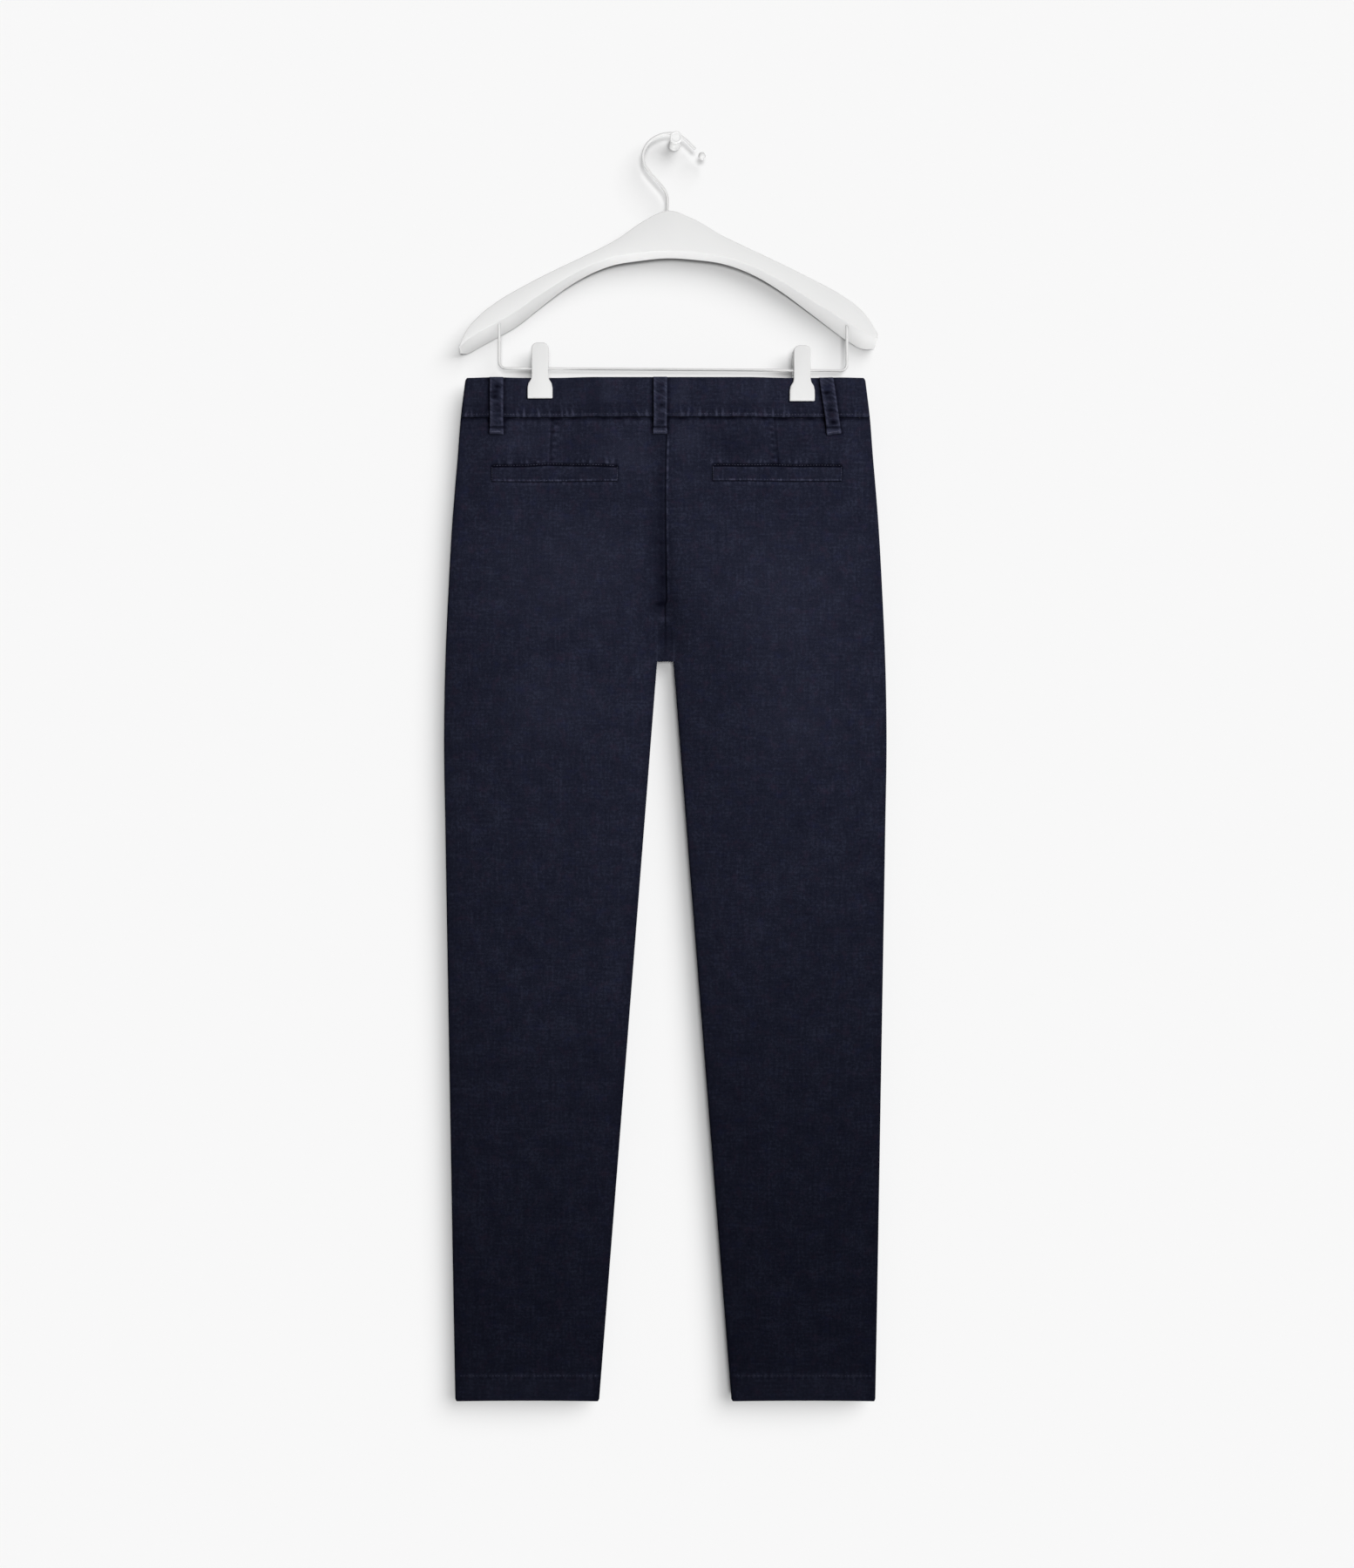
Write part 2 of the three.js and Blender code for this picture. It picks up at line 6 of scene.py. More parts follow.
import bpy
import numpy as np
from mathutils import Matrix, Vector

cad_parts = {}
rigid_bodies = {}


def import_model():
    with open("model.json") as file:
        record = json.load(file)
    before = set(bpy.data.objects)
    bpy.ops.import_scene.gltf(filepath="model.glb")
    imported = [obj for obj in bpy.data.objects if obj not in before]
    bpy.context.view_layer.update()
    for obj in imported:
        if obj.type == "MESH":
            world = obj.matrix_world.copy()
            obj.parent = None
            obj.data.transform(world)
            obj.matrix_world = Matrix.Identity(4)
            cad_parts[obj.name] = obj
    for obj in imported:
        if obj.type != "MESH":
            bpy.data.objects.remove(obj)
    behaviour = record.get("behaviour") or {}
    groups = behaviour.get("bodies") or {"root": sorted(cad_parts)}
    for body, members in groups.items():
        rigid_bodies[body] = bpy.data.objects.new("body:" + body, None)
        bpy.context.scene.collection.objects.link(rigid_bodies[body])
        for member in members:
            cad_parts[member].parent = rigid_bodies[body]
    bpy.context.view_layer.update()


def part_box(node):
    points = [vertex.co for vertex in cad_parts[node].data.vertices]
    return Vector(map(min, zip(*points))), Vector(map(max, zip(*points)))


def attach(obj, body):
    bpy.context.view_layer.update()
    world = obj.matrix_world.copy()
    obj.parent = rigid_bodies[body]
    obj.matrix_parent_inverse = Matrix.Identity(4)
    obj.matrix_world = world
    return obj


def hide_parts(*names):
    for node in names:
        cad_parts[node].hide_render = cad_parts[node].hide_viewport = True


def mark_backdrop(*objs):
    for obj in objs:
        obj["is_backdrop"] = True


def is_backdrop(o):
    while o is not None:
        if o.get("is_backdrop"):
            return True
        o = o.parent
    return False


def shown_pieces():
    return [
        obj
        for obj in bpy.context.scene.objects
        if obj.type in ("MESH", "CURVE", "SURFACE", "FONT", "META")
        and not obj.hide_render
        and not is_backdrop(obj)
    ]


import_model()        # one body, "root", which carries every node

MM = 0.001
BACK = -1  # the side of the cloth that faces the room
FRONT = 1  # the side that faces the wall
SIDES = (("left", -1), ("right", 1))


# ---- Sizes of the trousers ----

SEAM = 0.3 * MM
CLOTH = 1.5 * MM
BAND = 3 * MM
CENTRE_X = -11.4 * MM
CLOTH_Y = -21 * MM
WAIST_TOP_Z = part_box("waistband_back")[1][2]
WAIST_SEAM_Z = -304.7 * MM
HIP_Z = WAIST_SEAM_Z - 170 * MM
CROTCH_Z = -569.8 * MM
CROTCH_HALF = 8.9 * MM
INSEAM_SLOPE = 0.0785
HEM_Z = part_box("back_left")[0][2]
HEM_DEEP = 27.5 * MM
WAIST_HOLLOW = 4.5 * MM
LENS_POWER = 2.4
CLIP_X = tuple(sum(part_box(f"clip_{side}_room_jaw")[k][0] for k in (0, 1)) / 2 for side, _ in SIDES)
PAD_HALF = 13.6 * MM
WAIST_REACH = (-0.222, 0.222)  # gathers run from and to here at the waist
HEM_REACH = (-0.232, 0.232)  # and here at the hems
SEAM_ROUND = 2.4 * MM  # width over which a panel's edge rounds into a seam

# Each row is a level of the body: its height, half of its flat width, and half of the hollow inside it.
LEVELS = np.array((
    (-261, 217.6, 4.5),
    (-305, 222.9, 5),
    (-342, 225.8, 7.5),
    (-418, 232, 11),
    (-494, 236.3, 13),
    (-570, 239.6, 13.5),
    (-656, 241, 13),
    (-751, 239.6, 12),
    (-893, 237.2, 10.5),
    (-1083, 233.9, 9),
    (-1273, 230.6, 8),
    (-1375, 228.7, 7.5),
)) * MM


# ---- Shape of the hanging cloth ----

def ease(a, b, v):
    """0 before a, 1 after b and a smooth rise between them."""
    t = np.clip((v - a) / (b - a), 0, 1)
    return t * t * (3 - 2 * t)


def curve_through(places, values):
    """A smooth curve through a row of places and their values, as a function of the place."""
    order = np.argsort(places)
    p = np.asarray(places, float)[order]
    v = np.asarray(values, float)[order]
    slope = np.gradient(v, p)

    def at(x):
        x = np.clip(x, p[0], p[-1])
        i = np.clip(np.searchsorted(p, x) - 1, 0, len(p) - 2)
        span = p[i + 1] - p[i]
        t = (x - p[i]) / span
        rise = (2 * t**3 - 3 * t**2 + 1) * v[i] + (3 * t**2 - 2 * t**3) * v[i + 1]
        return rise + (t**3 - 2 * t**2 + t) * span * slope[i] + (t**3 - t**2) * span * slope[i + 1]

    return at


def curves(table):
    """A smooth curve for each column of a table after the first, which holds the places."""
    return [curve_through(table[:, 0], column) for column in table.T[1:]]


side_edge, body_hollow = curves(LEVELS)


def inseam_edge(z):
    return CROTCH_HALF + INSEAM_SLOPE * (CROTCH_Z - z)


def lens(u):
    return np.maximum(0, 1 - np.abs(u) ** LENS_POWER)


def waist_hollow(x):
    """Half of the opening between front and back at the waist, which the clips hold shut."""
    to_clip = np.minimum(*(np.abs(x + CENTRE_X - clip) for clip in CLIP_X))
    side = float(side_edge(WAIST_TOP_Z))
    return WAIST_HOLLOW * ease(PAD_HALF + MM, 60 * MM, to_clip) * ease(side, side - 40 * MM, np.abs(x))


def hollow(x, z):
    """Half of the hollow inside: one wide flattened tube at the hips, which parts into two legs."""
    side = side_edge(z)
    parted = ease(CROTCH_Z + 150 * MM, CROTCH_Z, z)
    opening = CROTCH_HALF * ease(CROTCH_Z + 90 * MM, CROTCH_Z, z)
    inner = np.where(z > CROTCH_Z, opening, np.maximum(0, inseam_edge(z)))
    whole = lens(x / side)
    leg = lens((2 * np.abs(x) - side - inner) / (side - inner))
    body = body_hollow(z) * (whole + (leg - whole) * parted)
    settled = ease(WAIST_SEAM_Z, HIP_Z, z)
    return waist_hollow(x) * (1 - settled) + body * settled


def rounded(distance, radius):
    """The rise of a rounded edge, from 0 at the edge to 1 where the cloth lies flat."""
    t = 1 - np.clip(distance / radius, 0, 1)
    return np.sqrt(1 - t * t)


def hump(value, width):
    return np.exp(-((value / width) ** 2))


# Soft creases of one side. Columns: middle x and z, half length, half width, turn in degrees, height.
# All but the turn are in millimetres; a height below 0 is a trough.
BACK_CREASES = (
    (-86, -655, 120, 16, 62, -0.7),
    (92, -662, 115, 17, -60, -0.65),
    (-58, -598, 62, 9, 28, -0.6),
    (62, -604, 58, 10, -31, -0.55),
    (-176, -700, 90, 12, 80, 0.5),
    (171, -690, 84, 11, 99, 0.55),
    (-142, -470, 70, 14, 12, 0.35),
    (150, -455, 74, 15, -10, 0.35),
    (-128, -905, 60, 18, 8, -0.6),
    (136, -930, 66, 16, -11, -0.55),
    (-150, -985, 44, 13, -15, 0.4),
    (118, -1010, 50, 14, 14, 0.4),
    (-120, -1180, 90, 20, 84, 0.45),
    (160, -1160, 100, 22, 95, 0.4),
    (-178, -1300, 40, 12, 30, -0.4),
    (122, -1292, 44, 12, -34, -0.4),
    (118, -345, 40, 17, 70, -0.9),
    (60, -420, 55, 20, 30, -0.5),
    (-62, -432, 50, 18, -34, -0.5),
)
FRONT_CREASES = (
    (-70, -585, 74, 11, 33, -1.3),
    (74, -580, 70, 12, -36, -1.2),
    (-52, -540, 48, 8, 24, 0.9),
    (58, -536, 50, 9, -22, 0.9),
    (-130, -640, 90, 15, 70, -0.9),
    (128, -652, 94, 15, -68, -0.9),
    (-138, -900, 70, 14, 6, -1.0),
    (140, -912, 66, 15, -9, -1.0),
    (-150, -948, 52, 11, -10, 0.8),
    (132, -960, 58, 12, 11, 0.8),
    (-146, -1120, 110, 18, 86, 0.6),
    (148, -1105, 120, 19, 94, 0.6),
    (-30, -400, 60, 10, 55, -0.6),
    (100, -420, 64, 13, -44, -0.6),
)


def creases(x, z, rows):
    total = np.zeros_like(x)
    for middle_x, middle_z, long, wide, turn, high in rows:
        c, s = math.cos(math.radians(turn)), math.sin(math.radians(turn))
        dx, dz = x - middle_x * MM, z - middle_z * MM
        bend = 0.12 * (dx * c + dz * s) ** 2 / (long * MM)
        total += high * MM * hump(dx * c + dz * s, long * MM) * hump(dz * c - dx * s - bend, wide * MM)
    return total


def uneven(x, seed, step=34 * MM):
    """A slow wander between 0 and 1 along a seam."""
    draw = np.random.default_rng(seed)
    total = np.zeros_like(x)
    for part in range(4):
        wave = x / (step / (1 + 0.8 * part)) * 2 * math.pi
        total += np.sin(wave * draw.uniform(0.8, 1.25) + draw.uniform(0, 6.3))
    return np.clip(0.5 + total / 5, 0, 1)


PUCKER_LEAN = 0.15  # how far the gathers lean from upright, as a slope


def puckers(x, z, level, start, end, gap, tall, high, seed):
    """Small gathers along a level line of stitching, as uneven as thread tension leaves them."""
    draw = np.random.default_rng(seed)
    total = np.zeros_like(x)
    near = np.abs(z - level) < 3 * tall
    xs, zs = x[near], z[near]
    part = np.zeros_like(xs)
    place = start
    while place < end:
        tilt = draw.normal(0, PUCKER_LEAN)
        strength = high * draw.uniform(0.25, 1.25)
        width = gap * draw.uniform(0.24, 0.36)
        part += strength * hump(xs - place - tilt * (zs - level), width) * hump(zs - level, tall)
        place += gap * draw.uniform(0.65, 1.45)
    total[near] = part
    return total


# ---- Making cloth ----

def place_on(x, offset, z, face):
    """Points of the cloth, from x off the centre line and the offset from the middle plane."""
    return np.stack((CENTRE_X + x, CLOTH_Y + face * offset, z), axis=-1)


# Where the pieces lay on the cloth before they were cut, across and along it, so that their slubs differ.
CUTS = {
    "back": (0, 0), "welt": (0, 0.7), "front": (0.6, 0), "facing": (1.3, 0), "fly": (2.1, 0),
    "hem": (0.4, 0.5), "waistband": (0, 1.5), "loop": (3.0, 0),
}


def shell(name, x, z, offsets, uv, wear, finish, face, smooth=50):
    """A closed wall of cloth over a grid, between its outer and inner offsets. uv follows the cloth."""
    rows, columns = x.shape
    count = rows * columns
    points = np.concatenate([place_on(x, offset, z, face).reshape(-1, 3) for offset in offsets])
    at = np.arange(count).reshape(rows, columns)
    a, b, c, d = at[:-1, :-1], at[1:, :-1], at[1:, 1:], at[:-1, 1:]
    quads = np.stack((a, b, c, d), axis=-1).reshape(-1, 4)
    rim = np.concatenate((at[:-1, 0], at[-1, :-1], at[:0:-1, -1], at[0, :0:-1]))
    after = np.roll(rim, -1)
    walls = np.stack((after, rim, rim + count, after + count), axis=-1)
    faces = np.concatenate((quads, quads[:, ::-1] + count, walls))
    if face == FRONT:
        faces = faces[:, ::-1]
    mesh = bpy.data.meshes.new(name)
    mesh.from_pydata(points.tolist(), [], faces.tolist())
    layer = mesh.uv_layers.new(name="cloth")
    across, along = CUTS[name.split("_")[1]]
    lain = np.stack((uv[0] + across, uv[1] + along), axis=-1).reshape(-1, 2)
    layer.data.foreach_set("uv", np.concatenate((lain, lain))[faces.reshape(-1)].reshape(-1))
    # Per point, the value stored here paints the cloth lighter above 0, for rubbed edges together with
    # painted highlight on ridges and gathers, and darker below 0, as painted shade in grooves, slits, hollows
    # and beside raised parts.
    worn_and_lit = mesh.attributes.new("wear", "FLOAT", "POINT")
    worn_and_lit.data.foreach_set("value", np.concatenate((wear.reshape(-1), wear.reshape(-1))))
    mesh.materials.append(finish)
    piece = placed(name, mesh)
    bpy.ops.object.shade_smooth_by_angle(angle=math.radians(smooth))
    return piece


def only(piece):
    bpy.ops.object.select_all(action="DESELECT")
    piece.select_set(True)
    bpy.context.view_layer.objects.active = piece


def placed(name, data):
    """A new object in the scene, selected alone."""
    piece = bpy.data.objects.new(name, data)
    bpy.context.collection.objects.link(piece)
    only(piece)
    return piece


def panel_walls(outer):
    """A panel's outer and inner offsets, which keep clear of the middle plane."""
    outer = np.maximum(outer, 0.06 * MM)
    return outer, np.maximum(outer - CLOTH, 0.03 * MM)


def settle(piece, slot, *nodes):
    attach(piece, "root")
    if nodes:
        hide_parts(*nodes)
    return piece


def fine_ends(start, end, step, edge=(0, 0.35, 0.9, 1.6, 2.6)):
    """Places from start to end: close together at both ends, as edge says in mm, and step apart between."""
    edge = np.array(edge) * MM
    way = 1 if end > start else -1
    inner = abs(end - start) - 2 * edge[-1]
    middle = np.linspace(edge[-1], edge[-1] + inner, max(2, round(inner / step)) + 1)[1:-1]
    distances = np.concatenate((edge, middle, abs(end - start) - edge[::-1]))
    return start + way * distances


def panel_grid(levels, near, far, sign, step):
    """Points x, z of a panel on one side of the centre line, between its near and far edges."""
    share = fine_ends(0, 0.24, step) / 0.24
    z = np.repeat(levels[:, None], len(share), axis=1)
    lo, hi = near(z), far(z)
    distance = lo + (hi - lo) * share[None, :]
    if sign < 0:
        return -distance[:, ::-1], z
    return distance, z


# ---- The back ----

# Welt pockets of the back. Columns: side, from and to along the waist, and the level of the opening.
WELTS = (
    ("left", -189.2 * MM, -52.1 * MM, -359.4 * MM),
    ("right", 50.7 * MM, 191.5 * MM, -358.8 * MM),
)
WELT_DEEP = 15.4 * MM
WELT_RISE = 1.3 * MM
# The darker fold across each welt is painted shade.
WELT_SHADE_X = {"left": -70 * MM, "right": 110 * MM}  # a darker fold across each welt

# Darts. Columns: top x and z, lower x and z, and the side on which the folded cloth lies.
DARTS = (
    (-122.9 * MM, -306 * MM, -125.7 * MM, -357.7 * MM, 1),
    (118.8 * MM, -306 * MM, 123.4 * MM, -357.7 * MM, -1),
)
# Levels along the centre-back seam: its stitching's top and end, a jog, a tuck, a pale tape and a patch of
# painted shade.
SEAT_STITCH_Z = -329 * MM
SEAT_END_Z = -512 * MM
SEAT_JOG_Z = -506 * MM
SEAT_TUCK_Z = -524 * MM
SEAT_TAPE_Z = -522 * MM
SEAT_SHADE_Z = -541 * MM


def seat_seam(z):
    """Where the centre-back seam runs: it wanders a little, with one jog low on the seat."""
    wander = 1.6 * MM * np.sin((z - WAIST_SEAM_Z) / (62 * MM))
    wander = wander * ease(WAIST_SEAM_Z, WAIST_SEAM_Z - 40 * MM, z)
    jog = 1.8 * MM * (ease(SEAT_JOG_Z + 3 * MM, SEAT_JOG_Z - 3 * MM, z) - 0.5)
    return (wander - jog) * ease(CROTCH_Z, CROTCH_Z + 30 * MM, z)


def dart_relief(x, z):
    """The darts: a groove, the cloth folded beside it and its gathers, with painted shade in the groove and
    the dents, and a pale line beside the fold that is partly rubbed edge and partly painted highlight.
    """
    groove = np.zeros_like(x)
    light = np.zeros_like(x)
    for number, (top_x, top_z, end_x, end_z, side) in enumerate(DARTS):
        draw = np.random.default_rng(40 + number)
        down = np.clip((top_z - z) / (top_z - end_z), 0, 1)
        line = top_x + (end_x - top_x) * down
        inside = ease(end_z - 2 * MM, end_z + 6 * MM, z)
        groove -= 0.8 * MM * hump(x - line, MM) * inside
        groove += 0.3 * MM * hump(x - line - side * 3.4 * MM, 2.6 * MM) * inside
        level = top_z - 5 * MM
        while level > end_z:
            bump = hump(x - line - side * draw.uniform(2.5, 5.5) * MM, 2.6 * MM)
            bump = bump * hump(z - level, 1.5 * MM) * draw.uniform(0.4, 1)
            groove -= 0.55 * MM * bump
            # Each dent is painted darker as shade, with a painted highlight just below it.
            light -= 0.95 * bump
            light += 0.28 * hump(x - line - side * 4 * MM, 2.6 * MM) * hump(z - level + 3.6 * MM, 1.5 * MM)
            level -= draw.uniform(6, 9) * MM
        # Painted shade along the groove; beside the fold a pale line, rubbed edge together with painted
        # highlight.
        light -= 0.75 * hump(x - line, 1.2 * MM) * inside * (0.5 + 0.6 * uneven(z, 44 + number, 16 * MM))
        worn_and_lit = inside * uneven(z, 46 + number, 14 * MM)
        light += 0.25 * hump(x - line + side * 2.2 * MM, 1.1 * MM) * worn_and_lit
    return groove, light


def slit_level(x, side, start, end, level):
    """The pocket's opening bows up a little between its bar tacks."""
    share = np.clip((x - start) / (end - start), 0, 1)
    bow = 1.9 * MM if side == "left" else 0.5 * MM
    return level + bow * np.sin(math.pi * share) ** 2 + 0.25 * MM * np.sin(share * 17)


def pocket_relief(x, z):
    """What the welt pockets do to the panel: the slit, painted dark as shade, gathers above and below it,
    painted lighter as highlight on rubbed ridges, and the bar tacks, painted darker as shade.
    """
    relief = np.zeros_like(x)
    light = np.zeros_like(x)
    for number, (side, start, end, lowest) in enumerate(WELTS):
        along = ease(start - 1.5 * MM, start + MM, x) * ease(end + 1.5 * MM, end - MM, x)
        level = slit_level(x, side, start, end, lowest)
        gathers = puckers(x, z, lowest + 5 * MM, start, end, 6 * MM, 4.4 * MM, 0.5 * MM, 60 + number)
        relief += gathers + 0.35 * MM * along * hump(z - level - 4.5 * MM, 3.6 * MM)
        # Gathers are painted lighter by their height, as painted highlight together with rubbed ridges; a
        # band of painted shade lies above the opening.
        light += gathers / (0.85 * MM) - 0.24 * along * hump(z - level - 5.5 * MM, 4.5 * MM)
        # The opening is painted near black: painted shade inside the slit.
        slit = hump(z - level - 1.1 * MM, 2.6 * MM) * along * (0.7 + 0.5 * uneven(x, 64 + number))
        relief -= 1.5 * MM * slit
        light -= 1.5 * slit
        light += 0.5 * hump(z - level - 4.6 * MM, 1.2 * MM) * along * uneven(x, 66 + number, 22 * MM)
        under = lowest - WELT_DEEP
        below = puckers(x, z, under - 1.5 * MM, start, end, 4.4 * MM, 2.4 * MM, 0.3 * MM, 70 + number)
        relief += below - 0.5 * MM * hump(z - under, 1.1 * MM) * along
        # Painted highlight on the lower gathers and painted shade along the welt's foot.
        light += below / (1.1 * MM) - 0.2 * hump(z - under, 1.2 * MM) * along
        for end_x in (start, end):
            column = hump(x - end_x, 1.4 * MM) * ease(under - 2 * MM, under, z)
            column *= ease(lowest + 3 * MM, lowest, z)
            relief -= 0.6 * MM * column
            # Painted shade down each bar tack.
            light -= 0.5 * column
    return relief, light


def seat_relief(x, z):
    """The hollow that the centre-back seam pulls into the seat, deepest near the crotch, painted darker in
    the hollow, jog and dents as shade, with painted highlight on the tuck and along the seam's edge.
    """
    deep = ease(-350 * MM, -505 * MM, z) * (0.55 + 0.45 * ease(-560 * MM, -540 * MM, z))
    line = seat_seam(z)
    wide = (13 + 2.5 * np.sin(z / (23 * MM))) * MM
    trough = hump(x - line + 2 * MM, wide) * deep
    draw = np.random.default_rng(30)
    dents = np.zeros_like(x)
    level = SEAT_STITCH_Z
    while level > SEAT_END_Z:
        size = draw.uniform(0.35, 1) * hump(z - level, 1.8 * MM)
        dents += size * hump(x - line + draw.uniform(3.6, 5.6) * MM, 2.2 * MM)
        level -= draw.uniform(6, 9.5) * MM
    stitched = ease(-322 * MM, -330 * MM, z) * ease(SEAT_END_Z, -505 * MM, z)
    edge = hump(x - line - 2.1 * MM, MM) * stitched * (0.3 + 0.7 * uneven(z, 31, 26 * MM))
    shade = hump(x - line + 4.6 * MM, 9 * MM) * stitched * (0.45 + 0.6 * uneven(z, 32, 40 * MM))
    tape = hump(np.abs(x - line) - 9.5 * MM, 0.9 * MM) * ease(SEAT_TAPE_Z, SEAT_TAPE_Z - 10 * MM, z)
    jog = hump(z - SEAT_JOG_Z - 0.25 * (x - line), 2.2 * MM) * hump(x - line + 4 * MM, 7 * MM)
    tuck = hump(z - SEAT_TUCK_Z, 1.8 * MM) * hump(x - line + MM, 8 * MM)
    under = hump(z - SEAT_SHADE_Z, 8 * MM) * hump(x - line + 2 * MM, 9 * MM)
    relief = -3.3 * MM * trough - 1.1 * MM * jog + 0.7 * MM * tuck - 0.45 * MM * dents + 0.25 * MM * tape
    # Painted shade in the trough, the jog, the dents, a band left of the seam and a patch below; painted
    # highlight on the tuck, and painted highlight together with rubbed edge along the seam.
    light = -0.42 * trough - 0.8 * jog + 1.6 * tuck - 0.5 * dents + 0.95 * edge - 0.5 * shade + 0.5 * tape
    return relief, light - 0.3 * under


# Belt loops. Columns: name, middle at the waist top and at the lower end, and the side of the trousers.
LOOPS = (
    ("back_centre", -6.2 * MM, -6.2 * MM, BACK),
    ("back_left", -183.8 * MM, -183.8 * MM, BACK),
    ("back_right", 174.2 * MM, 183.2 * MM, BACK),
    ("front_left", -98 * MM, -98 * MM, FRONT),
    ("front_right", 100 * MM, 100 * MM, FRONT),
)
LOOP_WIDE = 15.1 * MM
LOOP_END_Z = -323.4 * MM
LOOP_LONG = WAIST_TOP_Z - LOOP_END_Z


def loop_painted_shadow(x, z, face):
    """Painted shadow beside and under the belt loops, where the raised loops shade the cloth."""
    dark = np.zeros_like(x)
    for number, (_, top, end, side) in enumerate(LOOPS):
        if side != face:
            continue
        down = np.clip((WAIST_TOP_Z - z) / LOOP_LONG, 0, 1.1)
        beside = np.abs(x - top - (end - top) * down) - LOOP_WIDE / 2
        along = ease(LOOP_END_Z - 1.5 * MM, LOOP_END_Z + 2 * MM, z)
        along = along * (0.6 + 0.6 * uneven(z, 500 + number, 20 * MM))
        dark += (1.3 * hump(beside - 1.2 * MM, 2.1 * MM) + 0.4 * (beside < 0)) * along
        dark += 0.5 * hump(z - LOOP_END_Z + 1.2 * MM, 1.5 * MM) * (beside < 0)
    return dark


# Patches of painted shade (tone below 0) and painted light (tone above 0). Columns: middle x and z, half
# width and height, and tone.
BACK_SHADE_PATCHES = (
    (72, -331, 27, 15, -0.34),
    (143, -331, 20, 14, -0.30),
    (28, -330, 24, 14, 0.12),
    (168, -352, 12, 8, -0.22),
    (124, -352, 6, 16, -0.30),
    (-150, -330, 30, 14, 0.06),
    (-40, -345, 34, 20, 0.10),
    (-205, -350, 14, 60, -0.05),
    (-60, -392, 60, 10, -0.14),
    (120, -395, 70, 11, -0.16),
    (-110, -470, 90, 60, 0.07),
    (130, -500, 70, 70, 0.06),
    (60, -680, 50, 80, -0.06),
    (-60, -700, 44, 70, -0.05),
    (-120, -620, 60, 40, 0.06),
    (130, -640, 60, 50, 0.06),
)


def patches(x, z, rows):
    total = np.zeros_like(x)
    for middle_x, middle_z, wide, high, tone in rows:
        total += tone * hump(x - middle_x * MM, wide * MM) * hump(z - middle_z * MM, high * MM)
    return total


def back_surface(x, z):
    """The back's outer surface from CLOTH_Y, and how much lighter (above 0) or darker (below 0) its colour is
    painted: rubbed ridges together with painted highlight, and painted shade and shadow.
    """
    dart, dart_light = dart_relief(x, z)
    pocket, pocket_light = pocket_relief(x, z)
    seat, seat_light = seat_relief(x, z)
    # Painted shadow under the waistband's lower edge.
    band_painted_shadow = hump(z - WAIST_SEAM_Z + 0.9 * MM, 2.2 * MM) * (0.55 + 0.8 * uneven(x, 81, 60 * MM))
    gathers = puckers(x, z, WAIST_SEAM_Z - 3 * MM, *WAIST_REACH, 6.4 * MM, 4.5 * MM, 0.3 * MM, 80)
    relief = dart + pocket + seat + gathers + creases(x, z, BACK_CREASES)
    fade = rounded(np.minimum(side_edge(z) - np.abs(x), 30 * MM), 30 * MM)
    # Gathers are painted lighter by their height, as painted highlight together with rubbed ridges; painted
    # shadow falls under the waistband and beside the belt loops, with the patches of painted shade and light.
    light = dart_light + pocket_light + seat_light + gathers / (1.3 * MM) - 1.1 * band_painted_shadow
    light = light - 0.8 * loop_painted_shadow(x, z, BACK) + patches(x, z, BACK_SHADE_PATCHES)
    return hollow(x, z) + relief * fade, light


HEM_ENDS = HEM_Z + np.array((2, 1, 0.4, 0)) * MM  # the last rows of a leg's grid
FINE_TO_Z = -382 * MM  # the back's grid is finest down to here, below the welts


def body_levels():
    upper = np.arange(WAIST_SEAM_Z - SEAM / 2, FINE_TO_Z, -1.45 * MM)
    middle = np.linspace(upper[-1] - 2 * MM, CROTCH_Z + 0.3 * MM, 52)
    lower = np.linspace(CROTCH_Z - 0.3 * MM, HEM_Z + 34 * MM, 118)
    hem = np.linspace(HEM_Z + 32 * MM, HEM_Z + 3 * MM, 17)
    return np.concatenate((upper, middle, lower, hem, HEM_ENDS))


def hem_relief(x, z, seed):
    """The hem's stitched groove, with the gathers painted lighter as painted highlight together with rubbed
    ridges, the pale dots of its stitches, and a line of painted shade below them.
    """
    stitch = HEM_Z + HEM_DEEP
    gathers = puckers(x, z, stitch - 1.5 * MM, *HEM_REACH, 6 * MM, 3.4 * MM, 0.32 * MM, seed)
    gathers += puckers(x, z, HEM_Z + 12 * MM, *HEM_REACH, 7 * MM, 9 * MM, 0.03 * MM, seed + 50)
    fold = ease(HEM_Z + 30 * MM, HEM_Z + 24 * MM, z)
    relief = gathers - 0.15 * MM * hump(z - stitch, 1.3 * MM) + 0.22 * MM * fold
    dots = puckers(x, z, stitch + 0.6 * MM, *HEM_REACH, 4.6 * MM, 1.6 * MM, 0.5, seed + 70)
    dots *= 0.15 + 0.8 * uneven(x, seed + 71, 30 * MM)
    # Gathers painted lighter by their height as painted highlight; painted shade just below the stitching.
    return relief, gathers / (1.3 * MM) + dots + 0.05 * fold - 0.15 * hump(z - stitch + 2.4 * MM, 1.2 * MM)


def hem_lift(x, z):
    """The hem is turned up a hair higher in the middle of each leg, so that it hangs level."""
    return 0.42 * hollow(x, z) * ease(HEM_Z + 140 * MM, HEM_Z, z)


def hem_corner(z):
    """How far the side and inseam edges draw in at the very end of a leg."""
    return 0.9 * MM * ease(HEM_Z + 3 * MM, HEM_Z, z) ** 2


